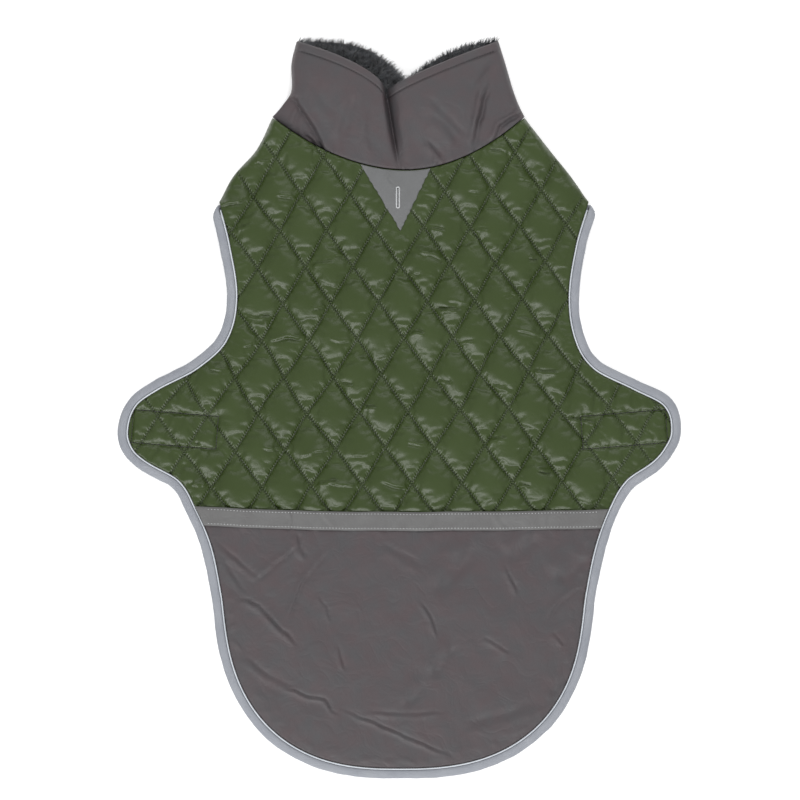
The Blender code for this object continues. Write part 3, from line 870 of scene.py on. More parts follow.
CLOTHS = (
    ClothFinish(
        "olive quilting", (0.0265, 0.0425, 0.0085), (0.032, 0.050, 0.012), (0.33, 0.40),
        specular=0.42, drift_size=14.0, crinkle_size=50.0, crinkle_bump=0.0004, weave_bump=0.00003,
        sewn=True,
    ),
    ClothFinish(
        "olive chest cloth", (0.036, 0.056, 0.0195), (0.043, 0.066, 0.024), (0.30, 0.37),
        crinkle_bump=0.0007,
    ),
    ClothFinish(
        "brown-grey nylon", (0.0645, 0.0505, 0.054), (0.0565, 0.054, 0.0575), (0.46, 0.56),
        specular=0.38, drift_size=60.0, crinkle_size=38.0, crinkle_bump=0.0007,
    ),
    ClothFinish(
        "grey reflective tape", (0.109, 0.107, 0.107), (0.122, 0.122, 0.121), (0.42, 0.5),
        specular=0.38, drift_size=60.0, crinkle_bump=0.0006,
    ),
    ClothFinish(
        "grey reflective patch", (0.112, 0.114, 0.115), (0.126, 0.129, 0.131), (0.42, 0.5),
        specular=0.38, drift_size=60.0, crinkle_bump=0.0005,
    ),
    ClothFinish(
        "lavender edge tape", (0.235, 0.248, 0.278), (0.275, 0.288, 0.315), (0.6, 0.75),
        specular=0.3, drift_size=40.0, threads=6000.0, weave_bump=0.0002, crinkle_size=110.0,
        crinkle_bump=0.0004,
    ),
    ClothFinish(
        "silvery piping", (0.46, 0.49, 0.53), (0.54, 0.57, 0.61), (0.4, 0.55),
        specular=0.4, crinkle_bump=0.0001,
    ),
    ClothFinish(
        "hook and loop", (0.012, 0.014, 0.012), (0.03, 0.034, 0.03), (0.85, 0.95),
        crinkle_size=400.0, crinkle_bump=0.0008,
    ),
    ClothFinish(
        "olive thread", (0.066, 0.090, 0.040), (0.084, 0.112, 0.052), (0.6, 0.7),
        specular=0.25, crinkle_bump=0.0,
    ),
    # Real dark thread for the box and rim stitches; also the continuous dark line of painted shade in the
    # gap inside the piping.
    ClothFinish(
        "dark thread and gap shade", (0.018, 0.016, 0.018), (0.032, 0.030, 0.032), (0.5, 0.6),
        crinkle_bump=0.0,
    ),
    ClothFinish(
        "pale thread", (0.42, 0.43, 0.44), (0.55, 0.56, 0.57), (0.5, 0.6),
        crinkle_bump=0.0,
    ),
)


class Finishes:
    """Every material of the coat."""

    def __init__(self) -> None:
        """Builds them all."""
        effects = SharedEffects()
        self.made = {cloth.name: cloth.build(effects) for cloth in CLOTHS}
        self.made["charcoal pile"] = PileFinish().build()

    def dress(self, piece: Piece, name: str) -> None:
        """Gives a piece its one material."""
        piece.data.materials.clear()
        piece.data.materials.append(self.made[name])


# ---------------------------------------------------------------- stitches and pile


class GeometrySketch(NamedTree):
    """A geometry node tree with named inputs, run on an object."""

    def __init__(self, name: str, inputs: dict) -> None:
        """Makes the tree with its geometry sockets and its named inputs."""
        geometry = {"Geometry": ("Geometry", None)}
        super().__init__(name, "GeometryNodeTree", {**geometry, **inputs}, geometry)

    def chance(self, low: float, high: float, seed: object) -> Socket:
        """A random number for each point."""
        fed = {2: low, 3: high, "Seed": seed}
        return self.add("FunctionNodeRandomValue", fed, data_type="FLOAT").outputs[1]

    def named(self, geometry: Socket, name: str, value: Socket, domain: str) -> Socket:
        """The geometry with a named number stored on it."""
        fed = {"Geometry": geometry, "Name": name, "Value": value}
        return self.get("GeometryNodeStoreNamedAttribute", fed, data_type="FLOAT", domain=domain)

    def end(self, instances: Socket, paint: Socket) -> None:
        """Ends the tree: real meshes in one material."""
        real = self.get("GeometryNodeRealizeInstances", {0: instances})
        painted = self.get("GeometryNodeSetMaterial", {"Geometry": real, "Material": paint})
        self.feed(self.go[0], painted)

    def run(self, source: Piece, name: str, **values: object) -> Piece:
        """Runs the tree on an object and keeps the result as a plain mesh.

        Args:
            source: The object whose geometry goes in. It is removed.
            name: The new piece's name.
            values: The tree's named inputs, with underscores for spaces.

        Returns:
            The new piece.
        """
        modifier = source.modifiers.new("nodes", "NODES")
        modifier.node_group = self.tree
        for item in self.tree.interface.items_tree:
            key = item.name.replace(" ", "_")
            if item.item_type == "SOCKET" and item.in_out == "INPUT" and key in values:
                modifier[item.identifier] = values[key]
        graph = bpy.context.evaluated_depsgraph_get()
        mesh = bpy.data.meshes.new_from_object(source.evaluated_get(graph))
        mesh.name = name
        made = link(name, mesh)
        bpy.data.objects.remove(source)
        smooth(mesh)
        return made


class StitchTree(GeometrySketch):
    """Thread bars set along lines: running stitches, or worked bars across a line."""

    def __init__(self) -> None:
        """Builds the tree."""
        sizes = {"Pitch": 0.0027, "Length": 0.002, "Radius": 0.00035, "Turn": 0.0, "Unevenness": 0.12}
        inputs = {label: ("Float", value) for label, value in sizes.items()}
        super().__init__(
            "stitches along lines", {**inputs, "Seed": ("Int", 1), "Thread": ("Material", None)}
        )
        come = self.come
        curve = self.get("GeometryNodeMeshToCurve", {0: come["Geometry"]})
        points = {"Curve": curve, "Length": come["Pitch"]}
        even = self.get("GeometryNodeResampleCurve", points, mode="LENGTH")
        ball = self.get("GeometryNodeMeshUVSphere", {"Segments": 5, "Rings": 4, "Radius": 1.0})
        size = self.joined(self.math("MULTIPLY", come["Length"], 0.5), come["Radius"], come["Radius"])
        bar = self.get("GeometryNodeTransform", {"Geometry": ball, "Scale": size})
        tangent = self.get("GeometryNodeInputTangent")
        x, y, z = self.split(tangent)
        heading = self.math("ADD", self.math("ARCTAN2", y, x), come["Turn"])
        sway = self.math("MULTIPLY", self.chance(-1.0, 1.0, come["Seed"]), come["Unevenness"])
        flat = self.vector("MULTIPLY", tangent, (1.0, 1.0, 0.0))
        run = self.add("ShaderNodeVectorMath", {0: flat}, operation="LENGTH").outputs["Value"]
        facing = self.math("MULTIPLY", self.math("COSINE", come["Turn"]), -1.0)
        pitch = self.math("MULTIPLY", self.math("ARCTAN2", z, run), facing)
        turn = self.joined(0.0, pitch, self.math("ADD", heading, sway))
        fed = {"Points": even, "Instance": bar, "Rotation": turn}
        self.end(self.get("GeometryNodeInstanceOnPoints", fed), come["Thread"])

    def sew(
        self,
        name: str,
        lines: list,
        thread: bpy.types.Material,
        pitch: float,
        length: float,
        radius: float,
        **more: float,
    ) -> Piece:
        """Sews along lines of points in millimetres on the plan.

        Args:
            name: The new piece's name.
            lines: Arrays of points.
            thread: The thread's material.
            pitch: Distance from stitch to stitch.
            length: A stitch's length.
            radius: The thread's radius.
            more: The tree's other named inputs.

        Returns:
            The stitches as one piece.
        """
        edges, start = [], 0
        for line in lines:
            edges += [(start + i, start + i + 1) for i in range(len(line) - 1)]
            start += len(line)
        source = put_mesh(name + " path", np.concatenate(lines), [], edges)
        sizes = {"Pitch": pitch * MM, "Length": length * MM, "Radius": radius * MM}
        return self.run(source, name, Thread=thread, **sizes, **more)


class PileTree(GeometrySketch):
    """Tapering tufts that stand out of a surface and lean along a direction."""

    def __init__(self) -> None:
        """Builds the tree."""
        sizes = {"Density": 1500000.0, "Length": 0.009, "Radius": 0.0003}
        inputs = {label: ("Float", value) for label, value in sizes.items()}
        inputs |= {"Lean": ("Vector", (0.0, 0.6, 0.3)), "Clump Size": ("Float", 180.0)}
        inputs |= {"Seed": ("Int", 4), "Pile": ("Material", None)}
        super().__init__("pile on a surface", inputs)
        come = self.come
        fed = {"Mesh": come["Geometry"], "Density": come["Density"], "Seed": come["Seed"]}
        spread = self.add("GeometryNodeDistributePointsOnFaces", fed).outputs
        x, y, z = self.split(self.get("GeometryNodeInputPosition"))
        cone = {"Vertices": 3, "Side Segments": 3, "Radius Top": 0.12, "Radius Bottom": 1.0}
        blade = self.get("GeometryNodeMeshCone", {**cone, "Depth": 1.0})
        blade = self.named(blade, "tip share", z, "POINT")
        curl = self.math("MULTIPLY", self.math("MULTIPLY", z, z), 0.28)
        bow = self.math("MULTIPLY", curl, come["Length"])
        tuft = self.joined(
            self.math("ADD", self.math("MULTIPLY", x, come["Radius"]), bow),
            self.math("MULTIPLY", y, come["Radius"]),
            self.math("MULTIPLY", z, come["Length"]),
        )
        bent = self.get("GeometryNodeSetPosition", {"Geometry": blade, "Position": tuft})
        clumps = {"Scale": come["Clump Size"], "Detail": 2.0}
        clumps = self.add("ShaderNodeTexNoise", clumps).outputs["Color"]
        swing = self.vector("MULTIPLY", self.vector("SUBTRACT", clumps, (0.5, 0.5, 0.5)), (4.5, 3.0, 1.5))
        ends = {0: (-0.35, -0.35, -0.1), 1: (0.35, 0.35, 0.3), "Seed": come["Seed"]}
        stray = self.get("FunctionNodeRandomValue", ends, data_type="FLOAT_VECTOR")
        upright = self.vector("ADD", self.vector("ADD", swing, stray), come["Lean"])
        upright = self.vector("ADD", upright, spread["Normal"])
        turn = self.get("FunctionNodeAlignRotationToVector", {"Vector": upright}, axis="Z")
        size = self.chance(0.6, 1.15, self.math("ADD", come["Seed"], 5.0))
        fed = {"Points": spread["Points"], "Instance": bent, "Rotation": turn, "Scale": size}
        placed = self.get("GeometryNodeInstanceOnPoints", fed)
        shade = self.chance(0.45, 1.0, self.math("ADD", come["Seed"], 9.0))
        self.end(self.named(placed, "tuft shade", shade, "INSTANCE"), come["Pile"])


# ---------------------------------------------------------------- quilted back


@dataclass
class QuiltLattice:
    """The sewn diamonds: lines of whole u and lines of whole v cross at their corners."""

    first_row_y: float = 216
    row_pitch: float = 36.5
    row_tilt: float = 0.022
    axis_x: float = -2.5
    axis_drift: float = 0.051
    pitch_top: float = 47.9
    pitch_low: float = 50.2
    wander: float = 1.1
    wander_size: float = 70
    counts: tuple[int, int] = (-14, 28)

    def axis(self, y: Rows) -> Rows:
        """X of the middle column at a height."""
        return self.axis_x + self.axis_drift * (self.first_row_y - y)

    def pitch(self, y: Rows) -> Rows:
        """Width of a diamond at a height."""
        return self.pitch_top + (self.pitch_low - self.pitch_top) * smooth_step((60 - y) / 60)

    def sway(self, x: Rows, y: Rows) -> list:
        """How far hand sewing strays from the straight lines, in x and in y."""
        return [self.wander * wave_noise(x, y, self.wander_size, seed) for seed in (11, 12)]

    def uv(self, x: Rows, y: Rows) -> tuple[Rows, Rows]:
        """Lattice counts of plan points.

        Args:
            x: X of each point.
            y: Y of each point.

        Returns:
            U and v of each point.
        """
        dx, dy = self.sway(x, y)
        x, y = x + dx, y + dy
        s = (self.first_row_y - y + self.row_tilt * x) / self.row_pitch
        c = (x - self.axis(y)) / self.pitch(y)
        return s / 2 + c, s / 2 - c

    def off_line(self, x: Rows, y: Rows) -> Rows:
        """Share of a diamond's side from each point to its nearest sewn line."""
        u, v = self.uv(x, y)
        return np.minimum(np.abs(u - np.round(u)), np.abs(v - np.round(v)))

    def xy(self, u: Rows, v: Rows) -> tuple[Rows, Rows]:
        """Plan points of lattice counts.

        Args:
            u: U of each point.
            v: V of each point.

        Returns:
            X and y of each point.
        """
        s, c = u + v, (u - v) / 2
        x, y = np.zeros_like(s), np.zeros_like(s)
        for _ in range(8):
            y = self.first_row_y - self.row_pitch * s + self.row_tilt * x
            x = self.axis(y) + self.pitch(y) * c
        straight = x.copy(), y.copy()
        for _ in range(8):
            dx, dy = self.sway(x, y)
            x, y = straight[0] - dx, straight[1] - dy
        return x, y

    def lines(self, loop: Rows, per_side: int, margin: float) -> list:
        """Every sewn line's stretches inside a loop.

        Args:
            loop: The outline.
            per_side: Points along one side of a diamond.
            margin: Distance kept from the outline.

        Returns:
            Arrays of plan points.
        """
        rim = spaced(closed(loop), 1.0)
        low, high = self.counts
        t = np.arange(low * per_side, high * per_side + 1) / per_side
        found = []
        for family in (0, 1):
            for whole in range(low, high):
                fixed = np.full_like(t, whole)
                line = np.stack(self.xy(fixed, t) if family == 0 else self.xy(t, fixed), 1)
                ok = inside(line, loop)
                ok[ok] = distance(line[ok], rim) > margin
                changes = np.flatnonzero(np.diff(np.concatenate([[0], ok, [0]])))
                for start, end in changes.reshape(-1, 2):
                    if end - start > 3:
                        found.append(line[start:end])
        return found


@dataclass
class Sewn:
    """What every sub-assembly is made with."""

    plan: CoatPlan
    finishes: Finishes
    stitches: StitchTree

    def sew(self, name: str, lines: list, thread: str, *sizes: float, **more: float) -> Piece:
        """Sews lines in a named thread of that pitch, length and radius."""
        return self.stitches.sew(name, lines, self.finishes.made[thread], *sizes, **more)


@dataclass
class QuiltedBack(Sewn):
    """The padded, quilted back with its wings, from a cloth simulation."""

    lattice: QuiltLattice = field(default_factory=QuiltLattice)
    step: float = 2.5
    stitch_height: float = 2.3
    edge_height: float = 3.4
    patch_height: float = 3.2
    fold_width: float = 7.0
    groove: float = 1.45
    groove_width: float = 1.3
    extra_cloth: float = 0.06
    pressure: float = 12.0
    stiffness: float = 0.2
    frames: int = 24
    scale: float = 10.0
    box_centre: tuple[float, float] = (225, -21.5)
    box_size: tuple[float, float] = (85, 33)
    box_tilt: float = 4.6
    box_groove: float = 2.3
    box_ruck: float = 0.42
    tape_reach: float = 10.5
    tape_height: float = 3.9
    spacing: float = 40.6
    thread_rise: tuple[float, float] = (0.4, 0.3)

    def outline(self, step: float) -> Rows:
        """The back's cut edge, anticlockwise from the left neck corner.

        Args:
            step: Distance between points.

        Returns:
            The plan points.
        """
        plan = self.plan
        sides = []
        for side in Side:
            foot = float(plan.waist_seam_y(side.value * WAIST_END)) + 0.2
            upper = plan.edge(side, plan.neck_y_corner, CORNER_Y, step)
            sides.append((upper, plan.edge(side, CORNER_Y, foot, step)))
        (left, left_low), (right, right_low) = sides
        bottom = plan.curve(plan.waist_seam_y, left_low[-1][0], right_low[-1][0], step, 0.2)
        neck = plan.curve(plan.neck_y, right[0][0], left[0][0], step)
        parts = (left, left_low, bottom, right_low[::-1], right[::-1], neck)
        return np.concatenate([part[:-1] for part in parts])

    def boxes(self, step: float) -> list:
        """The closure patches' stitched boxes.

        Args:
            step: Distance between points.

        Returns:
            Each box's plan points.
        """
        found = []
        for side in Side:
            turn = math.radians(side.value * self.box_tilt)
            sin, cos = math.sin(turn), math.cos(turn)
            corners = []
            for sx, sy in ((-1, -1), (1, -1), (1, 1), (-1, 1), (-1, -1)):
                x, y = sx * self.box_size[0] / 2, sy * self.box_size[1] / 2
                middle = side.value * self.box_centre[0], self.box_centre[1]
                corners.append((middle[0] + x * cos - y * sin, middle[1] + x * sin + y * cos))
            found.append(spaced(np.array(corners), step))
        return found

    def settle(self, area: PlanMesh, held: Rows) -> Rows:
        """Blows the cloth up between its sewn lines with Blender's cloth simulation.

        Args:
            area: The flat cloth.
            held: Which of its points are sewn down.

        Returns:
            How far each point moved, in millimetres.
        """
        scene = bpy.context.scene
        mesh = bpy.data.meshes.new("flat cloth")
        flat = np.column_stack([area.points, np.zeros(len(area.points))]) * MM * self.scale
        mesh.from_pydata(flat.tolist(), [], area.triangles)
        cloth = link("flat cloth", mesh)
        group = cloth.vertex_groups.new(name="sewn")
        group.add([int(i) for i in np.nonzero(held)[0]], 1.0, "REPLACE")
        modifier = cloth.modifiers.new("cloth", "CLOTH")
        settings = {
            "quality": 6,
            "mass": 0.15,
            "tension_stiffness": 15,
            "compression_stiffness": 15,
            "shear_stiffness": 5,
            "bending_stiffness": self.stiffness,
            "tension_damping": 5,
            "compression_damping": 5,
            "shear_damping": 5,
            "bending_damping": 0.5,
            "air_damping": 1,
            "use_pressure": True,
            "uniform_pressure_force": self.pressure,
            "shrink_min": -self.extra_cloth,
            "vertex_group_mass": "sewn",
        }
        for key, value in settings.items():
            setattr(modifier.settings, key, value)
        modifier.settings.effector_weights.gravity = 0
        modifier.collision_settings.use_collision = False
        modifier.collision_settings.use_self_collision = False
        modifier.point_cache.frame_start = 1
        modifier.point_cache.frame_end = self.frames + 5
        for frame_number in range(1, self.frames + 2):
            scene.frame_set(frame_number)
        settled = cloth.evaluated_get(bpy.context.evaluated_depsgraph_get()).to_mesh()
        moved = np.zeros(len(flat) * 3, np.float32)
        settled.vertices.foreach_get("co", moved)
        moved = moved.reshape(-1, 3).astype(float)
        scene.frame_set(1)
        bpy.data.objects.remove(cloth)
        return (moved - flat) / MM / self.scale

    def plain_puff(self, area: PlanMesh) -> Rows:
        """A quick stand-in for the simulation: plain pillows between the lines."""
        puff = 5.0 * (1 - (1 - 2 * self.lattice.off_line(*area.xy)) ** 2)
        return np.column_stack([np.zeros((len(puff), 2)), puff])

    def base_height(self, x: Rows, y: Rows, fold: Rows) -> Rows:
        """Height of the sewn lines, turned down at the shoulder folds.

        Args:
            x: X of each point.
            y: Y of each point.
            fold: How far each point is from the shoulder folds.

        Returns:
            The heights.
        """
        round_off = np.clip(1 - fold / self.fold_width, 0, 1)
        drop = np.sqrt(np.maximum(0.0, 1 - 0.93 * round_off**2.2))
        return (self.plan.lift(x, y) + self.stitch_height) * drop

    def build(self) -> list:
        """Builds the back, its quilting thread and the box stitches."""
        loop = self.outline(self.step)
        lines = self.lattice.lines(loop, per_side=19, margin=1.4)
        loose = tuple(fold_line.rows(1.4) for fold_line in self.folds(loop))
        sewn = lines + self.boxes(self.step)
        area = PlanMesh.fill(loop, sewn, self.step, seed=7, flank=1.5, loose=loose)
        x, y = area.xy
        log.info("quilted back: %d points", len(x))
        covered = inside(area.points, LeadPatch.corners_of(self.plan, 1.5))
        held = covered.copy()
        for line in (area.rim, *area.lines):
            held[line] = True
        moved = self.settle(area, held)
        fold = self.fold_distance(x, y)
        height = self.base_height(x, y, fold) + self.shaped_puff(area, moved, covered, fold)
        above = y - self.plan.waist_seam_y(x) - self.tape_reach
        ceiling = np.where(above < 8, self.tape_height + np.maximum(0.0, above) * 1.1, 99.0)
        top = np.column_stack([x + moved[:, 0], y + moved[:, 1], np.clip(height, 0.4, ceiling)])
        under = PlanMesh.fill(loop, [], 16.0, seed=8)
        points, faces = area.close(top, under, self.under_height(*under.xy))
        back = put_mesh("quilted_back", points, faces)
        self.mark_lattice(back, len(top))
        self.finishes.dress(back, "olive quilting")
        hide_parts("back_panel")
        seams = [np.array(ids)[~covered[ids]] for ids in area.lines[: len(lines)]]
        threads = [top[ids] + [0, 0, self.thread_rise[0]] for ids in seams if len(ids) > 3]
        quilting = self.sew("quilting_stitches", threads, "olive thread", 2.7, 1.8, 0.44)
        boxes = [top[line] + [0, 0, self.thread_rise[1]] for line in area.lines[len(lines) :]]
        return [back, quilting, self.sew("closure_stitches", boxes, "dark thread and gap shade", 3.0, 2.9, 0.65)]

    def fold_distance(self, x: Rows, y: Rows) -> Rows:
        """Distance in from the shoulder's folded silhouette.

        Args:
            x: X of each point.
            y: Y of each point.

        Returns:
            The distances, or a large one far below the shoulders.
        """
        top = self.plan.neck_y_corner + 6
        folds = [self.plan.edge(side, top, CORNER_Y + 3, 1.0) for side in Side]
        near = y > CORNER_Y - 12
        found = np.full(len(x), 99.0)
        found[near] = distance(np.stack([x, y], 1)[near], np.concatenate(folds))
        return found

    def under_height(self, x: Rows, y: Rows) -> Rows:
        """Height of the underside, which meets the ground at the shoulder folds."""
        return self.plan.lift(x, y) * np.clip(self.fold_distance(x, y) / self.fold_width, 0.02, 1)

    def shaped_puff(self, area: PlanMesh, moved: Rows, covered: Rows, fold: Rows) -> Rows:
        """The puffs' heights over the sewn lines, with the grooves sunk into them.

        Args:
            area: The flat cloth.
            moved: How far each point moved.
            covered: Which points the lead patch covers.
            fold: How far each point is from the shoulder folds.

        Returns:
            The heights.
        """
        x, y = area.xy
        puff = np.maximum(moved[:, 2], -0.6)
        puff *= 1 + 0.12 * wave_noise(x, y, 60, 13)
        away = self.lattice.off_line(x, y) * self.spacing
        free = 1 - bell(away / 2.6)
        for fold_line in self.folds(area.points[area.rim]):
            puff += fold_line.height(x, y) * free
        wing = smooth_step((np.abs(x) - 178) / 14) * (y < 12) * (y > -62)
        puff -= self.groove * (1 - 0.6 * wing) * ~covered * bell(away / self.groove_width)
        near = (np.abs(x) > 165) & (y < 14) & (y > -60)
        ruck = np.sin(x[near] * 1.75 + 2.2 * np.sin(0.31 * x[near] + 0.1 * y[near]))
        for box in self.boxes(1.0):
            far = distance(area.points[near], box)
            puff[near] += self.box_ruck * ruck * bell((far - 3.5) / 3.5) - self.box_groove * bell(far / 1.4)
        puff += (self.edge_height - self.stitch_height) * bell(area.rim_distance() / 4.0)
        puff[covered] = self.patch_height - self.stitch_height
        return puff * np.clip(fold / self.fold_width, 0.15, 1)

    def folds(self, loop: Rows) -> list:
        """Small folds running sideways from the diamonds' corners, placed by a seed.

        Args:
            loop: The back's outline.

        Returns:
            The folds.
        """
        rng = np.random.default_rng(17)
        found = []
        for u in range(-6, 16):
            for v in range(-6, 16):
                x, y = self.lattice.xy(np.array([float(u)]), np.array([float(v)]))
                chance, side = rng.uniform(), rng.choice((-1.0, 1.0))
                rise, length = rng.uniform(-8, 8), rng.uniform(14, 38)
                turn, bow = rng.uniform(-0.3, 0.3), rng.uniform(-2.5, 2.5)
                depth, width = rng.uniform(1.2, 2.8), rng.uniform(1.0, 1.7)
                node = np.array([x[0] + side * 3, y[0] + rise])
                if chance > 0.66 or not inside(node[None], loop)[0]:
                    continue
                run = np.array([side * math.cos(turn), math.sin(turn)])
                middle = node + run * length / 2 + [0.0, bow]
                path = (tuple(node), tuple(middle), tuple(node + run * length))
                found.append(Crease("corner fold", path, depth, width, 0.9))
        return found

    def mark_lattice(self, back: Piece, upper: int) -> None:
        """Stores the lattice counts as a UV map for the finish.

        Args:
            back: The back.
            upper: How many of its points are on its upper face.
        """
        mesh = back.data
        co = np.zeros(len(mesh.vertices) * 3, np.float32)
        mesh.vertices.foreach_get("co", co)
        co = co.reshape(-1, 3) / MM + OUTLINE_MIDDLE
        u, v = self.lattice.uv(co[:, 0], co[:, 1])
        u[upper:], v[upper:] = 0.5, 0.5
        corner = np.zeros(len(mesh.loops), np.int32)
        mesh.loops.foreach_get("vertex_index", corner)
        flat = np.stack([u[corner], v[corner]], 1).astype(np.float32)
        mesh.uv_layers.new(name="quilt lattice").data.foreach_set("uv", flat.ravel())


# ---------------------------------------------------------------- flat cloth pieces


@dataclass
class RearPanel(Sewn):
    """The plain rear panel with its lying creases."""

    step: float = 2.2
    thick: float = 3.6
    edge_thick: float = 3.1
    creases: tuple[Crease, ...] = (
        Crease(
            "left fold",
            ((-163, -189), (-141, -197), (-121, -219), (-113, -224), (-99, -241)),
            2.1,
            1.7,
            0.9,
        ),
        Crease("left fold upper", ((-187, -130), (-162, -152), (-138, -172)), 1.2, 1.9, 0.9),
        Crease("left fold lower", ((-178, -150), (-160, -176), (-152, -186)), 1.0, 2.0, 0.9),
        Crease(
            "long fold",
            ((-119, -277), (-92, -288), (-74, -291), (-68, -302), (-58, -308)),
            1.5,
            1.2,
            0.9,
        ),
        Crease("long fold tail", ((-62, -299), (-12, -320), (24, -336), (62, -352)), 1.5, 1.2, 0.9),
        Crease("left slant", ((-99, -137), (-122, -155), (-146, -177)), 1.2, 1.8, 0.9),
        Crease("left slant low", ((-70, -142), (-97, -176), (-113, -217)), 1.2, 1.5, 0.9),
        Crease("middle slant", ((82, -135), (58, -162), (35, -190)), 2.6, 7.0, 0.7),
        Crease("right slant", ((143, -127), (108, -154)), 2.2, 6.0, 0.7),
        Crease("right nick", ((105, -157), (113, -172), (120, -189)), 1.1, 1.3, 0.9),
        Crease("right flank fold", ((190, -147), (157, -177)), 2.4, 7.0, 0.7),
        Crease("middle nick", ((20, -192), (33, -210), (39, -232)), 1.3, 1.3, 0.9),
        Crease("left nick", ((-82, -186), (-72, -200), (-68, -216)), 0.8, 1.4, 0.8),
        Crease("left nick low", ((-62, -236), (-58, -250), (-53, -264)), 1.0, 1.3, 0.9),
        Crease("low slant", ((57, -237), (32, -270)), 1.5, 4.0, 0.8),
        Crease("low slant two", ((27, -275), (5, -300)), 1.2, 4.0, 0.8),
        Crease("right nick low", ((83, -228), (112, -246)), 1.1, 1.4, 0.9),
        Crease("flank nick", ((153, -223), (165, -238)), 1.1, 1.3, 0.9),
        Crease("tape slant", ((-20, -134), (27, -160)), 1.2, 3.0, 0.8),
        Crease("tape nick", ((-102, -124), (-99, -140), (-92, -152)), 1.4, 2.0, 0.9),
        Crease("hem line", ((-40, -303), (10, -306), (50, -303)), 0.9, 1.6, 0.9),
        Crease("right low fold", ((150, -290), (175, -262)), 1.4, 3.5, 0.8),
        Crease("left hem", ((-157, -246), (-130, -268), (-100, -281)), 1.0, 2.4, 0.9),
        Crease("right hem", ((60, -318), (110, -306), (140, -290)), 1.1, 4.5, 0.8),
        Crease("right flank nick", ((186, -176), (160, -196), (148, -214)), 1.0, 2.0, 0.9),
    )

    def outline(self, step: float) -> Rows:
        """The rear panel's cut edge, anticlockwise from the left end of the waist seam.

        Args:
            step: Distance between points.

        Returns:
            The plan points.
        """
        plan = self.plan
        left, right = (
            plan.edge(side, float(plan.waist_seam_y(side.value * WAIST_END)) - 0.2, plan.hem_y, step)
            for side in Side
        )
        x = np.linspace(right[0][0], left[0][0], 400)
        seam = spaced(np.stack([x, plan.waist_seam_y(x) - 0.2], 1), step)
        return np.concatenate([left[:-1], right[::-1][:-1], seam[:-1]])

    def height(self, x: Rows, y: Rows, edge: Rows) -> Rows:
        """Height of the upper face.

        Args:
            x: X of each point.
            y: Y of each point.
            edge: How far each point is from the cut edge.

        Returns:
            The heights.
        """
        top = np.full(len(x), self.thick)
        top += 0.55 * wave_noise(x, y, 95, 21) + 0.3 * wave_noise(x + 0.4 * y, y, 38, 22)
        for crease in self.creases:
            top += crease.height(x, y)
        seam = self.plan.waist_seam_y(x) - y
        puckers = np.maximum(0, wave_noise(x, 0.25 * y, 13, 23)) * bell(seam / 16)
        top += 0.9 * puckers * smooth_step((seam - 8) / 6)
        quiet = bell(edge / 5.0)
        top += 0.8 * np.maximum(0, wave_noise(x + y, x - y, 16, 24)) * bell((edge - 6) / 6)
        return np.maximum(top * (1 - quiet) + self.edge_thick * quiet, 1.2)

    def build(self) -> list:
        """Builds the panel."""
        loop = self.outline(self.step)
        loose = tuple(crease.rows(1.3) for crease in self.creases if crease.width < 3)
        area = PlanMesh.fill(loop, [], self.step, seed=31, flank=1.3, loose=loose)
        under = PlanMesh.fill(loop, [], 18.0, seed=32)
        top = np.column_stack([area.points, self.height(*area.xy, area.rim_distance())])
        panel = put_mesh("rear_cloth", *area.close(top, under, np.zeros(len(under.points))))
        self.finishes.dress(panel, "brown-grey nylon")
        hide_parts("rear_panel")
        return [panel]


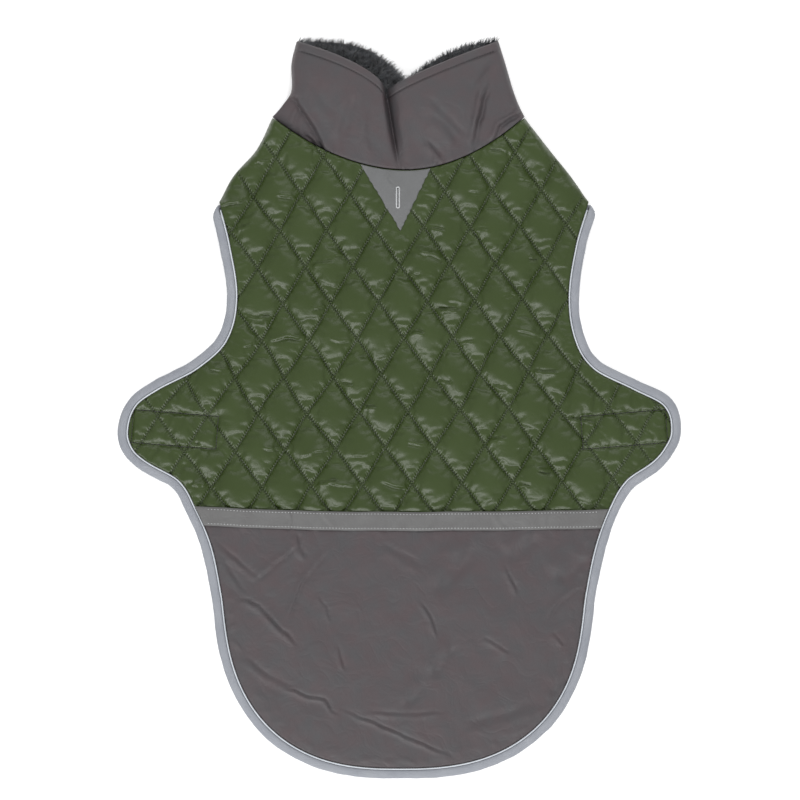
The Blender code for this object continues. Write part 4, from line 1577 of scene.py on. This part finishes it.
@dataclass
class CrossTape(Sewn):
    """The reflective tape over the waist seam, with a row of stitches near each edge."""

    width: float = 19.0
    thick: float = 0.8
    rest: float = 4.75
    inset: float = 2.4
    rows: int = 9
    columns: int = 340
    creases: tuple[Crease, ...] = (
        Crease("tape fold", ((-109, -98), (-106, -112), (-110, -128)), 0.9, 1.5, 0.9),
        Crease("tape slant", ((-66, -124), (-76, -112), (-88, -98)), 0.6, 2.0, 0.9),
        Crease("middle slant", ((24, -126), (34, -112), (38, -100)), 0.5, 2.2, 0.9),
        Crease("right slant", ((96, -98), (101, -112), (112, -124)), 0.7, 1.8, 0.9),
        Crease("right fold", ((152, -100), (148, -112), (150, -126)), 0.6, 1.6, 0.9),
    )

    def height(self, x: Rows, across: float) -> Rows:
        """Height of the tape's underside.

        Args:
            x: X of each point.
            across: From -1 at the lower edge to 1 at the upper one.

        Returns:
            The heights.
        """
        across = np.full_like(x, across)
        ripple = 0.38 * wave_noise(x, across * 9, 34, 41) + 0.16 * wave_noise(x, across * 6, 12, 42)
        y = self.plan.waist_seam_y(x) + across * self.width / 2
        for crease in self.creases:
            ripple += crease.height(x, y)
        return self.rest + np.maximum(ripple, -0.7) + 0.3 * (across > 0) * across

    def row(self, left: float, right: float, across: float, columns: int, rise: float) -> Rows:
        """A row of points along the tape.

        Args:
            left: X of its left end.
            right: X of its right end.
            across: From -1 at the lower edge to 1 at the upper one.
            columns: How many points.
            rise: Height over the tape's underside.

        Returns:
            The points.
        """
        x = np.linspace(left, right, columns)
        y = self.plan.waist_seam_y(x) + across * self.width / 2
        y = y + 0.25 * wave_noise(x, 0 * x + across, 45, 43)
        return np.stack([x, y, self.height(x, across) + rise], 1)

    def build(self) -> list:
        """Builds the tape and its stitches."""
        plan = self.plan
        top, low = [], []
        for across in np.linspace(-1, 1, self.rows):
            y = plan.waist_y + across * self.width / 2
            left = plan.side_x(y + plan.waist_rise_left, Side.LEFT) + 0.5
            right = plan.side_x(y + plan.waist_rise_right, Side.RIGHT) - 0.5
            edge = self.thick * (0.35 if abs(across) == 1 else 1.0)
            top.append(self.row(left, right, across, self.columns, edge))
            low.append(self.row(left, right, across, self.columns, 0.0))
        grid = np.array(ring_numbers(self.rows, self.columns))
        rim = [*grid[0], *grid[1:, -1], *grid[-1, -2::-1], *grid[-2:0:-1, 0]]
        rim = [int(i) for i in rim]
        faces = grid_faces(grid) + grid_faces(grid + grid.size)
        faces += between(rim, [grid.size + i for i in rim])
        tape = put_closed("cross_tape_cloth", np.concatenate([*top, *low]), faces)
        self.finishes.dress(tape, "grey reflective tape")
        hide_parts("cross_tape")
        left, right = top[0][2][0] + 2, top[0][-3][0] - 2
        inset = 1 - 2 * self.inset / self.width
        rows = [self.row(left, right, across, 400, self.thick + 0.1) for across in (inset, -inset)]
        return [tape, self.sew("tape_stitches", rows, "pale thread", 3.2, 1.5, 0.4)]


@dataclass
class LeadPatch(Sewn):
    """The pointed patch with the worked buttonhole for a lead."""

    thick: float = 0.8
    rest: float = 3.5
    slit_centre: tuple[float, float] = (-1.6, 210.0)
    slit_length: float = 19.5
    slit_width: float = 1.5
    raggedness: float = 0.7
    step: float = 1.6
    middle_x: float = -4.0
    half_width: float = 35.0
    point: tuple[float, float] = (1.0, 177.0)
    crease: Crease = Crease("patch fold", ((-8, 238), (-11, 228), (-5, 221)), 1.0, 1.1, 0.9)

    @classmethod
    def corners_of(cls, plan: CoatPlan, margin: float) -> Rows:
        """The patch's outline, grown by a margin.

        Args:
            plan: The coat's plan.
            margin: How far it is grown.

        Returns:
            The outline's points.
        """
        half = cls.half_width + margin
        x = np.linspace(cls.middle_x - half, cls.middle_x + half, 40)
        top = np.stack([x, plan.neck_y(x) - 0.6 + margin], 1)
        return np.concatenate([top[::-1], [[cls.point[0], cls.point[1] - 1.9 * margin]]])

    def slit(self) -> Rows:
        """The buttonhole's outline."""
        turn = np.linspace(0, FULL_TURN, 24, endpoint=False)
        radius = self.slit_width / 2
        half = self.slit_length / 2 - radius
        x = self.slit_centre[0] + radius * np.cos(turn)
        y = self.slit_centre[1] + radius * np.sin(turn) + half * np.sign(np.sin(turn))
        return np.stack([x, y], 1)

    def height(self, x: Rows, y: Rows) -> Rows:
        """Height of the patch's underside."""
        ripple = 0.12 * wave_noise(x, y, 22, 51)
        return self.plan.lift(x, y) + self.rest + ripple + self.crease.height(x, y)

    def build(self) -> list:
        """Builds the patch and the thread round its buttonhole."""
        loop = spaced(closed(self.corners_of(self.plan, 0.0)), self.step)[:-1]
        ragged = wave_noise(loop[:, 0] + loop[:, 1], loop[:, 0] - loop[:, 1], 7, 53)
        loop[:, 0] += self.raggedness * ragged * (loop[:, 1] < 232)
        hole = self.slit()
        area = PlanMesh.fill(loop, [closed(hole)], self.step, seed=52)
        ring = area.lines[0][:-1]
        middle = np.array([area.points[list(t)].mean(0) for t in area.triangles])
        cut = inside(middle, hole)
        kept = [t for t, gone in zip(area.triangles, cut) if not (gone and set(t) <= set(ring))]
        low = self.height(*area.xy)
        count = len(low)
        points = [np.column_stack([area.points, low + rise]) for rise in (self.thick, 0.0)]
        faces = kept + [tuple(count + i for i in reversed(t)) for t in kept]
        for rim in (area.rim, ring):
            faces += between(rim, [count + i for i in rim])
        patch = put_closed("lead_patch_cloth", np.concatenate(points), faces)
        self.finishes.dress(patch, "grey reflective patch")
        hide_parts("lead_patch")
        worked = self.slit_centre + (hole - self.slit_centre) * [1.9, 1.06]
        worked = spaced(closed(worked), 0.6)
        path = np.column_stack([worked, self.height(*worked.T) + self.thick + 0.15])
        sizes = (0.7, 1.9, 0.4)
        thread = self.sew("buttonhole_thread", [path], "pale thread", *sizes, Turn=math.pi / 2)
        return [patch, thread]


# ---------------------------------------------------------------- edge tape and piping


@dataclass
class ShoulderTurn:
    """Where the edge tape turns under the coat at one shoulder."""

    plan: CoatPlan
    side: Side
    radius: float = 0.3
    thick: float = 4.2

    def __post_init__(self) -> None:
        """Works out the fold line and the tape's heading."""
        s = self.side.value
        shoulder = SHOULDER_FOLD[2]
        wide = shoulder.left if self.side is Side.LEFT else shoulder.right
        self.corner = np.array([float(self.plan.side_x(CORNER_Y, self.side)), CORNER_Y])
        line = np.array([s * wide, shoulder.y]) - self.corner
        self.line = line / np.linalg.norm(line)
        self.out = np.array([s * self.line[1], -s * self.line[0]])
        self.reach = self.radius + self.thick
        self.middle = self.radius + self.thick / 2
        self.axis = self.corner - self.reach * self.out
        below = np.array([float(self.plan.side_x(CORNER_Y - 12, self.side)), CORNER_Y - 12])
        run = self.corner - below
        self.run = run / np.linalg.norm(run)
        self.normal = np.array([s * self.run[1], -s * self.run[0]])

    def place(self, along: float, out: float, height: float) -> tuple[float, float, float]:
        """A point of the tape given flat, as it lies once folded under.

        Args:
            along: Distance past the corner.
            out: Distance out from the seam.
            height: Height in the tape.

        Returns:
            Plan x and y, and height above the ground.
        """
        p = self.corner + self.run * along + self.normal * out - self.axis
        past, level = float(p @ self.out), float(p @ self.line)
        radius = self.radius + height
        turn = min(max(past / self.middle, 0.0), math.pi)
        if past <= 0:
            away = past
        elif turn < math.pi:
            away = radius * math.sin(turn)
        else:
            away = -(past - math.pi * self.middle)
        x, y = self.axis + self.line * level + self.out * away
        return float(x), float(y), self.reach + radius * math.cos(turn)


@dataclass
class EdgeTrim(Sewn):
    """The edge tape all round, and the piping inside it."""

    profile: tuple[tuple[float, float], ...] = (
        (2.0, 0.2),
        (1.9, 3.0),
        (2.5, 4.1),
        (3.8, 4.7),
        (5.8, 4.75),
        (8.0, 4.2),
        (9.8, 3.1),
        (10.5, 2.0),
        (10.2, 0.8),
        (9.2, 0.1),
        (5.5, 0.0),
    )
    inner: float = 2.0
    wide: float = 8.5
    thick: float = 4.2
    clear: float = 0.5
    step: float = 3.2
    overlap: float = 16.0
    tucked: float = 9.0
    piping_radius: float = 0.7
    piping_out: float = 1.0
    piping_height: float = 3.75
    piping_end: float = -8.5
    # Where the continuous dark line of painted gap shade lies: its inset from the edge and its heights
    # above and below the waist.
    shade_line_inset: float = 0.15
    shade_line_heights: tuple[float, float] = (3.3, 3.2)

    def upper_route(self) -> Rows:
        """The coat's cut edge from the left shoulder round the hem to the right one."""
        top = CORNER_Y - self.overlap
        left, right = (self.plan.edge(side, top, self.plan.hem_y, self.step) for side in Side)
        return spaced(np.concatenate([left, right[::-1][1:]]), self.step)

    def lower_route(self, turns: dict) -> Rows:
        """The chest panel's edge, from the right shoulder to the left one.

        Args:
            turns: Each side's shoulder turn.

        Returns:
            The plan points.
        """
        start, end = (turns[side].place(self.tucked, 0.0, 0.0)[:2] for side in (Side.RIGHT, Side.LEFT))
        mirrored = ((-x, y) for x, y in CHEST_EDGE[-2::-1])
        knots = np.array([start, *CHEST_EDGE, *mirrored, end], float)
        ends = np.concatenate([knots[:1], knots, knots[-1:]])
        t = np.linspace(0, 1, 12, endpoint=False)[:, None]
        found = []
        for k in range(len(knots) - 1):
            a, b, c, d = ends[k : k + 4]
            second, third = 2 * a - 5 * b + 4 * c - d, 3 * b - a - 3 * c + d
            found.append(0.5 * (2 * b + (c - a) * t + second * t**2 + third * t**3))
        return spaced(np.concatenate([*found, knots[-1:]]), 7.0)

    def upper_sections(self, upper: Rows, outward: Rows, base: Rows) -> list:
        """The tape's sections along the coat's edge, with a little slack.

        Args:
            upper: The route.
            outward: Unit vectors out from the edge at each of its points.
            base: Heights of the ground there.

        Returns:
            The points of each section.
        """
        along = np.arange(len(upper)) * self.step
        ends = smooth_step(along / 12) * smooth_step((along[-1] - along) / 12)
        slack = wave_noise(along, 0 * along, 55, 61) * ends
        ruck = wave_noise(along, 0 * along, 12, 62) * ends
        sections = []
        for k in range(len(upper)):
            section = []
            for out, high in self.profile:
                reach = (out - self.inner) / self.wide
                out += reach * (0.4 * slack[k] + 0.2 * ruck[k])
                high *= 1 + 0.05 * slack[k] + 0.08 * ruck[k] * (1 - 0.6 * reach)
                section.append((*(upper[k] + outward[k] * out), base[k] + high))
            sections.append(section)
        return sections

    def build(self) -> list:
        """Builds the tape, the piping, and a continuous line of dark thread between them and the cloth that
        paints the shade of the gap there.
        """
        turns = {side: ShoulderTurn(self.plan, side) for side in Side}
        upper = self.upper_route()
        outward = right_of(upper)
        outward *= np.sign(outward[0] @ [-1.0, 0.0])
        base = self.plan.lift(*upper.T)
        least, most = self.inner + self.clear, self.thick + 0.3
        folded = [(max(out, least), min(high, most)) for out, high in self.profile]
        steps = np.linspace(-self.overlap, self.tucked, 26)
        sections = [[turns[Side.LEFT].place(a, *p) for p in folded] for a in steps[::-1]]
        sections += self.upper_sections(upper, outward, base)
        sections += [[turns[Side.RIGHT].place(a, *p) for p in folded] for a in steps]
        lower = self.lower_route(turns)
        for point, inward in zip(lower[1:-1], -right_of(lower)[1:-1]):
            turned = [(*(point + inward * out), max(0.0, self.thick - high)) for out, high in folded]
            sections.append(turned)
        tape = sections_mesh("edge_binding", sections, ring=True)
        self.finishes.dress(tape, "lavender edge tape")
        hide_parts("edge_tape")
        piping = self.build_piping(turns, upper, outward, base)
        # Painted shade: overlapping dark stitches make one continuous dark line just inside the piping,
        # standing for the shadow in the gap between cloth and piping.
        inner = upper - outward * self.shade_line_inset
        above = np.where(inner[:, 1] > self.plan.waist_y, *self.shade_line_heights)
        line = np.column_stack([inner, base + above])[3:-3]
        seam = self.sew("edge_seam", [line], "dark thread and gap shade", 2.6, 2.8, 0.42, Unevenness=0.02)
        return [tape, piping, seam]

    def build_piping(self, turns: dict, upper: Rows, outward: Rows, base: Rows) -> Piece:
        """Builds the piping along the inner edge of the tape.

        Args:
            turns: Each side's shoulder turn.
            upper: The coat's cut edge.
            outward: Unit vectors out from the edge at each of its points.
            base: Heights of the ground there.

        Returns:
            The piping.
        """
        start, end = (turns[side].place(self.piping_end, 0.0, 0.0)[:2] for side in Side)
        route = np.concatenate([[start], upper, [end]])
        outward = np.concatenate([outward[:1], outward, outward[-1:]])
        height = np.concatenate([base[:1], base, base[-1:]]) + self.piping_height
        turn = np.radians(45.0 * np.arange(8))
        sections = []
        for k in range(len(route)):
            radius = self.piping_radius * (1 + 0.08 * math.sin(k * 1.7))
            out = self.piping_out + radius * np.cos(turn)
            plan = route[k] + outward[k] * out[:, None]
            sections.append(np.column_stack([plan, height[k] + 0.75 * radius * np.sin(turn)]))
        piping = sections_mesh("silver_piping", sections, ring=False)
        self.finishes.dress(piping, "silvery piping")
        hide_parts("edge_piping")
        return piping


# ---------------------------------------------------------------- collar


@dataclass(frozen=True)
class RimDip:
    """How a collar wall's rim dips to the V in its middle."""

    top: float
    x: float
    dip: float
    left_power: float
    right_power: float

    def y(self, x: Rows, left: float, right: float) -> Rows:
        """Y of the rim between the collar's sides.

        Args:
            x: X of each point.
            left: X of the left side.
            right: X of the right side.

        Returns:
            The heights on the plan.
        """
        reach = np.where(x < self.x, (self.x - x) / (self.x - left), (x - self.x) / (right - self.x))
        reach = np.clip(reach, 0, 1)
        sides = []
        for power in (self.left_power, self.right_power):
            sides.append(1 - reach**power if power < 1 else (1 - reach) ** power)
        return self.top - self.dip * np.where(x < self.x, *sides)


@dataclass
class Collar(Sewn):
    """The stand-up collar, pressed nearly flat, with its pile lining."""

    pile: PileTree = field(default_factory=PileTree)
    near_rim: RimDip = RimDip(365.5, -14, 50, 0.57, 0.85)
    far_rim: RimDip = RimDip(366, 5, 41, 3.8, 2.0)
    side_height: float = 16.0
    lobe: float = 11.0
    shell: float = 1.4
    lining: float = 1.8
    lining_thick: float = 3.2
    gap: float = 0.9
    band: float = 7.5
    slope: float = 0.88
    rings: int = 84
    pile_grid: tuple[int, int] = (26, 160)
    tuck_path: tuple[tuple[float, float], ...] = ((-70, 250), (-84.5, 279), (-99.5, 302), (-108, 323))
    creases: tuple[Crease, ...] = (
        Crease("right fold", ((93, 330), (84, 304), (79, 280), (73, 256)), 3.4, 2.6, 1.0),
        Crease("right base fold", ((122, 293), (111, 287), (101, 281), (94, 264)), 3.0, 2.0, 1.0),
        Crease("right base nick", ((124, 300), (112, 294), (104, 290)), 1.6, 1.6, 0.8),
        Crease("valley edge", ((27, 268), (38, 256), (46, 246)), 2.2, 2.2, 0.9),
        Crease("valley slant", ((2, 300), (12, 274), (20, 243)), 2.4, 4.0, 0.6),
        Crease("right slant", ((30, 294), (48, 280), (62, 262)), 1.6, 4.0, 0.8),
        Crease("right upper slant", ((20, 312), (36, 302), (58, 280), (70, 268)), 1.4, 3.2, 0.8),
        Crease("left slant", ((-42, 314), (-52, 290), (-58, 262)), 1.6, 4.5, 0.8),
        Crease("left slant two", ((-24, 300), (-30, 272), (-22, 248)), 1.4, 3.6, 0.8),
        Crease("left slant three", ((-92, 330), (-72, 300), (-60, 285)), 1.1, 4.0, 0.8),
        Crease("left base", ((-84, 262), (-95, 273)), 1.4, 1.6, 0.8),
        Crease("left stand fold", ((-98, 300), (-104, 286), (-112, 278)), 1.2, 2.0, 0.8),
        Crease("right upper", ((96, 345), (84, 330), (76, 316)), 1.6, 3.5, 0.8),
    )

    def sides(self, share: float) -> tuple[float, float]:
        """X of both folded sides at a share of the height."""
        curves = self.plan.curves
        left, right = (float(np.interp(share, *curves["collar", side])) for side in Side)
        return -left, right

    def pleat_x(self, share: float) -> float:
        """X of the pleat at a share of the height."""
        return self.near_rim.x * share**0.85

    def wall_y(self, x: Rows, share: float, rim: RimDip) -> Rows:
        """Y of a wall's ring.

        Args:
            x: X of each point.
            share: The ring's share of the height.
            rim: The wall's rim.

        Returns:
            Y of each point.
        """
        low = self.plan.neck_y(x) + self.gap
        return low + (rim.y(x, *self.sides(share)) - low) * share

    def near_height(self, x: Rows, y: Rows, share: float) -> Rows:
        """Outer height of the near wall: two lobes, the pleat and the creases.

        Args:
            x: X of each point.
            y: Y of each point.
            share: The ring's share of the height.

        Returns:
            The heights.
        """
        left, right = self.sides(share)
        pleat = self.pleat_x(share)
        span = np.where(x < pleat, (x - left) / (pleat - left), (right - x) / (right - pleat))
        lobe = np.sin(math.pi * np.clip(span * 0.86, 0, 1)) ** 0.7
        starts = ((1.3, 0), (1.6, 0.12), (2.5, 0))
        grow, sink, pinch = (float(smooth_step(share * a + b)) for a, b in starts)
        height = self.side_height + self.lobe * lobe * grow
        off = x - pleat
        height -= (8.5 + 2.5 * share) * sink * bell(off / np.where(off < 0, 2.4, 7.5))
        height -= 4.0 * bell((off - 0.8) / 1.5) * pinch
        height += 1.6 * bell((off + 6.5) / 4.0) * share
        height += self.tuck(x, y)
        for crease in self.creases:
            height += crease.height(x, y)
        height += 0.5 * wave_noise(x, y, 60, 71) + 0.25 * wave_noise(x, 0.6 * y, 24, 72)
        base = y - self.plan.neck_y(x)
        puckers = np.maximum(0, wave_noise(x, 0.2 * y, 10, 73)) * bell(base / 10)
        height += 1.4 * puckers - 1.2 * bell(base / 2.2)
        rim = (self.near_rim.y(x, left, right) - y) * self.slope
        height += 0.35 * smooth_step((self.band + 0.5 - rim) / 2)
        height -= 1.5 * bell((rim - self.band) / 0.9)
        edge = np.clip(1 - rim / 2.4, 0, 1)
        height -= 1.7 * (1 - np.sqrt(np.maximum(0, 1 - edge**2)))
        return np.maximum(height, 7.9)

    def tuck(self, x: Rows, y: Rows) -> Rows:
        """The step of the wall at the left side, where it stands over its lower corner.

        Args:
            x: X of each point.
            y: Y of each point.

        Returns:
            The change of height.
        """
        path = spaced(np.array(self.tuck_path, float), 2.0)
        off = (x - np.interp(y, path[:, 1], path[:, 0])) * 0.85
        fade = smooth_step((y - 248) / 12) * smooth_step((330 - y) / 18)
        step = -6.0 * (1 - smooth_step((off + 2.0) / 3.4))
        return (step + bell((off - 3.5) / 3.5) - 0.8 * bell((off + 2.0) / 1.6)) * fade

    def near_columns(self, share: float) -> Rows:
        """X of the near wall's columns, close together at the pleat.

        Args:
            share: The ring's share of the height.

        Returns:
            X of each column.
        """
        left, right = self.sides(share)
        radius = self.side_height / 2
        pleat = self.pleat_x(share)
        close = np.array([22, 16, 11, 8, 6, 4.5, 3.4, 2.6, 2, 1.4, 0.9, 0.4])
        a = np.linspace(left + radius, pleat - 26, 62)
        b = np.linspace(pleat + 26, right - radius, 62)
        return np.concatenate([a, pleat - close, [pleat], pleat + close[::-1], b])

    def side_arc(self, share: float, inset: float, side: Side, flat: float) -> Rows:
        """The fold at one side of a ring, from the near wall to the far one.

        Args:
            share: The ring's share of the height.
            inset: How far it is pulled in from its outer face.
            side: Which side.
            flat: X at which the fold starts.

        Returns:
            The points, in the ring's order.
        """
        radius = self.side_height / 2
        turn = np.radians(np.linspace(75, -75, 9))[:: side.value]
        fold_x = flat + side.value * radius * np.cos(turn)
        mix = 0.5 - 0.5 * np.sin(turn)
        near, far = (self.wall_y(fold_x, share, rim) for rim in (self.near_rim, self.far_rim))
        end = np.array([flat])
        top = self.near_height(end, self.wall_y(end, share, self.near_rim), share)[0]
        swing = np.sin(turn) / math.sin(math.radians(75))
        low = (radius - inset) * np.sin(turn)
        rise = np.where(turn > 0, (top - inset - radius) * swing, low)
        x = flat + side.value * (radius - inset) * np.cos(turn)
        return np.stack([x, near * (1 - mix) + far * mix, radius + rise], 1)

    def ring(self, share: float, inset: float) -> Rows:
        """One closed section of the collar.

        Args:
            share: Its share of the height.
            inset: How far it is pulled in from its outer face.

        Returns:
            The section's points.
        """
        left, right = self.sides(share)
        radius = self.side_height / 2
        x = self.near_columns(share)
        y = self.wall_y(x, share, self.near_rim)
        near = np.stack([x, y, self.near_height(x, y, share) - inset], 1)
        x = np.linspace(right - radius, left + radius, 50)
        far = np.stack([x, self.wall_y(x, share, self.far_rim), np.full(len(x), inset)], 1)
        arcs = [self.side_arc(share, inset, Side.RIGHT, right - radius)]
        arcs.append(self.side_arc(share, inset, Side.LEFT, left + radius))
        return np.concatenate([near, arcs[0], far, arcs[1]])

    def wall(self, name: str, shares: Rows, outer: float, inner: float) -> Piece:
        """A ring-shaped wall between two insets, rounded over at its rim.

        Args:
            name: The piece's name.
            shares: Shares of the height at which it has rings.
            outer: Inset of its outer face.
            inner: Inset of its inner face.

        Returns:
            The wall.
        """
        walls = [[self.ring(v, inset) for v in shares] for inset in (outer, inner)]
        lip = (walls[0][-1] + walls[1][-1]) / 2 + [0.0, 0.5, 0.0]
        count = len(shares)
        rings = ring_numbers(2 * count + 1, len(lip))
        pairs = [*zip(rings[: count - 1], rings[1:count]), *zip(rings[count:-2], rings[count + 1 : -1])]
        pairs += [(rings[0], rings[count]), (rings[count - 1], rings[-1]), (rings[-2], rings[-1])]
        faces = [face for pair in pairs for face in between(*pair)]
        return put_closed(name, np.concatenate([*walls[0], *walls[1], lip]), faces)

    def build(self) -> list:
        """Builds the shell, the lining, the pile and the rim's stitches."""
        shares = np.concatenate([np.linspace(0, 0.86, self.rings - 16), np.linspace(0.868, 1, 16)])
        shell = self.wall("collar_cloth", shares, 0.0, self.shell)
        self.finishes.dress(shell, "brown-grey nylon")
        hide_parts("collar_shell")
        inner = self.lining + self.lining_thick
        lining = self.wall("collar_pile_ground", np.linspace(0, 0.985, 24), self.lining, inner)
        self.finishes.dress(lining, "charcoal pile")
        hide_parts("collar_lining")
        tufts = self.grow_pile(inner)
        return [shell, lining, tufts, self.sew_rim()]

    def grow_pile(self, inner: float) -> Piece:
        """Grows tufts on the far wall's inner face near its rim, and under the near rim.

        Args:
            inner: Height of the lining's inner face.

        Returns:
            The tufts.
        """
        rows, columns = self.pile_grid
        left, right = self.sides(1.0)
        x = np.linspace(left + 1.5, right - 1.5, columns)
        far = self.far_rim.y(x, left, right)
        low = np.minimum(self.near_rim.y(x, left, right) - 9, far - 6)
        side = np.minimum(x - left, right - x)
        points = []
        for t in np.arange(rows) / (rows - 1):
            dome = 1.5 * np.sin(math.pi * min(t * 1.2, 1)) * smooth_step(side / 20)
            z = inner - 0.6 + dome + 5.0 * bell(side / 7) - 2.2 * max(0.0, t - 0.85) / 0.15
            points.append(np.stack([x, low + (far - 1.2 - low) * t, z], 1))
        grid = np.array(ring_numbers(rows, columns))
        source = put_mesh("pile source", np.concatenate(points), grid_faces(grid))
        pile = self.finishes.made["charcoal pile"]
        sizes = {"Density": 1750000.0, "Length": 0.0075, "Radius": 0.00042, "Lean": (0.0, 0.6, 0.0)}
        return self.pile.run(source, "collar_pile", Pile=pile, Seed=4, **sizes)

    def sew_rim(self) -> Piece:
        """Sews the row of stitches under the near rim."""
        left, right = self.sides(1.0)
        x = np.linspace(left + 6, right - 6, 400)
        rim = self.near_rim.y(x, left, right)
        y = rim - self.band / self.slope
        low = self.plan.neck_y(x) + self.gap
        rows = zip(x[:, None], y[:, None], (y - low) / (rim - low))
        z = np.array([self.near_height(a, b, float(share))[0] for a, b, share in rows])
        line = np.column_stack([x, y, z + 0.25])
        middle = self.near_rim.x
        halves = [line[x < middle - 3.5], line[x > middle + 3.5]]
        return self.sew("rim_stitches", halves, "dark thread and gap shade", 2.8, 2.2, 0.42)


# ---------------------------------------------------------------- studio


@dataclass
class Studio:
    """The floor, the light and the camera straight above."""

    floor_half: float = 3.0
    floor_z: float = -0.0004
    room: float = 0.56
    camera_height: float = 3.005
    focus_height: float = 0.005
    sensor: float = 36.0
    frame_width: float = 0.8
    frame_middle: tuple[float, float] = (0.5, 8.0)
    lamps: tuple[tuple, ...] = (
        ("key", (-0.45, -1.9, 1.45), (3.2, 0.9), 57.0),
        ("fill", (0.2, 1.5, 2.0), (2.4, 1.4), 30.0),
        ("back light", (0.5, 1.7, 1.6), (2.4, 0.8), 12.0),
    )

    def build(self) -> None:
        """Builds the studio."""
        bpy.context.scene.view_settings.view_transform = "Standard"
        self._floor()
        self._lights()
        self._camera()

    def _floor(self) -> None:
        """A plain pale floor."""
        half = self.floor_half
        corners = [(sx * half, sy * half, self.floor_z) for sx, sy in ((-1, -1), (1, -1), (1, 1), (-1, 1))]
        mesh = bpy.data.meshes.new("floor")
        mesh.from_pydata(corners, [], [(0, 1, 2, 3)])
        floor = link("floor", mesh)
        paint = bpy.data.materials.new("pale floor")
        paint.use_nodes = True
        inputs = paint.node_tree.nodes["Principled BSDF"].inputs
        inputs["Base Color"].default_value = (0.97, 0.97, 0.97, 1)
        inputs["Roughness"].default_value = 0.9
        inputs["Emission Color"].default_value = (1, 1, 1, 1)
        inputs["Emission Strength"].default_value = 0.1
        mesh.materials.append(paint)

    def _lights(self) -> None:
        """One large key from the hem's side, two from the neck's side, and a pale room."""
        for name, at, size, power in self.lamps:
            light = bpy.data.lights.new(name, "AREA")
            light.shape = "RECTANGLE"
            light.size, light.size_y = size
            light.energy = power
            lamp = link(name, light)
            lamp.location = at
            lamp.rotation_euler = (-Vector(at)).to_track_quat("-Z", "Y").to_euler()
            lamp.visible_glossy = name != "fill"
        world = bpy.data.worlds.new("pale room")
        world.use_nodes = True
        back = world.node_tree.nodes["Background"]
        back.inputs[0].default_value = (1, 1, 1, 1)
        back.inputs[1].default_value = self.room
        bpy.context.scene.world = world

    def _camera(self) -> None:
        """A long lens looking straight down."""
        camera = bpy.data.cameras.new("camera")
        camera.sensor_width = self.sensor
        camera.lens = self.sensor * (self.camera_height - self.focus_height) / self.frame_width
        camera.clip_end = 50
        eye = link("camera", camera)
        x, y = ((a - b) * MM for a, b in zip(self.frame_middle, OUTLINE_MIDDLE))
        eye.location = (x, y, self.camera_height)
        bpy.context.scene.camera = eye


# ---------------------------------------------------------------- the coat


class Coat:
    """Builds every part of the coat in order."""

    def __init__(self) -> None:
        """Prepares what every sub-assembly is made with."""
        self.finishes = Finishes()
        self.kit = (CoatPlan(), self.finishes, StitchTree())

    def build(self) -> None:
        makers = {
            "back": QuiltedBack,
            "rear": RearPanel,
            "tape": CrossTape,
            "patch": LeadPatch,
            "edge": EdgeTrim,
            "collar": Collar,
        }
        parts = {}
        for name, maker in makers.items():
            parts[name] = maker(*self.kit).build()
            for piece in parts[name]:
                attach(piece, "root")
                log.info("%s: %s, %d faces", name, piece.name, len(piece.data.polygons))
        self.dress_cad()

    def dress_cad(self) -> None:
        """Gives the hidden CAD pieces their cloth."""
        hidden = {"chest_panel": "olive chest cloth"}
        hidden |= {"closure_left": "hook and loop", "closure_right": "hook and loop"}
        for node, finish in hidden.items():
            self.finishes.dress(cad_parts[node], finish)


def main() -> None:
    """Builds the coat and the studio."""
    logging.basicConfig(level=logging.INFO)
    Coat().build()
    Studio().build()


if __name__ == "__main__":
    main()
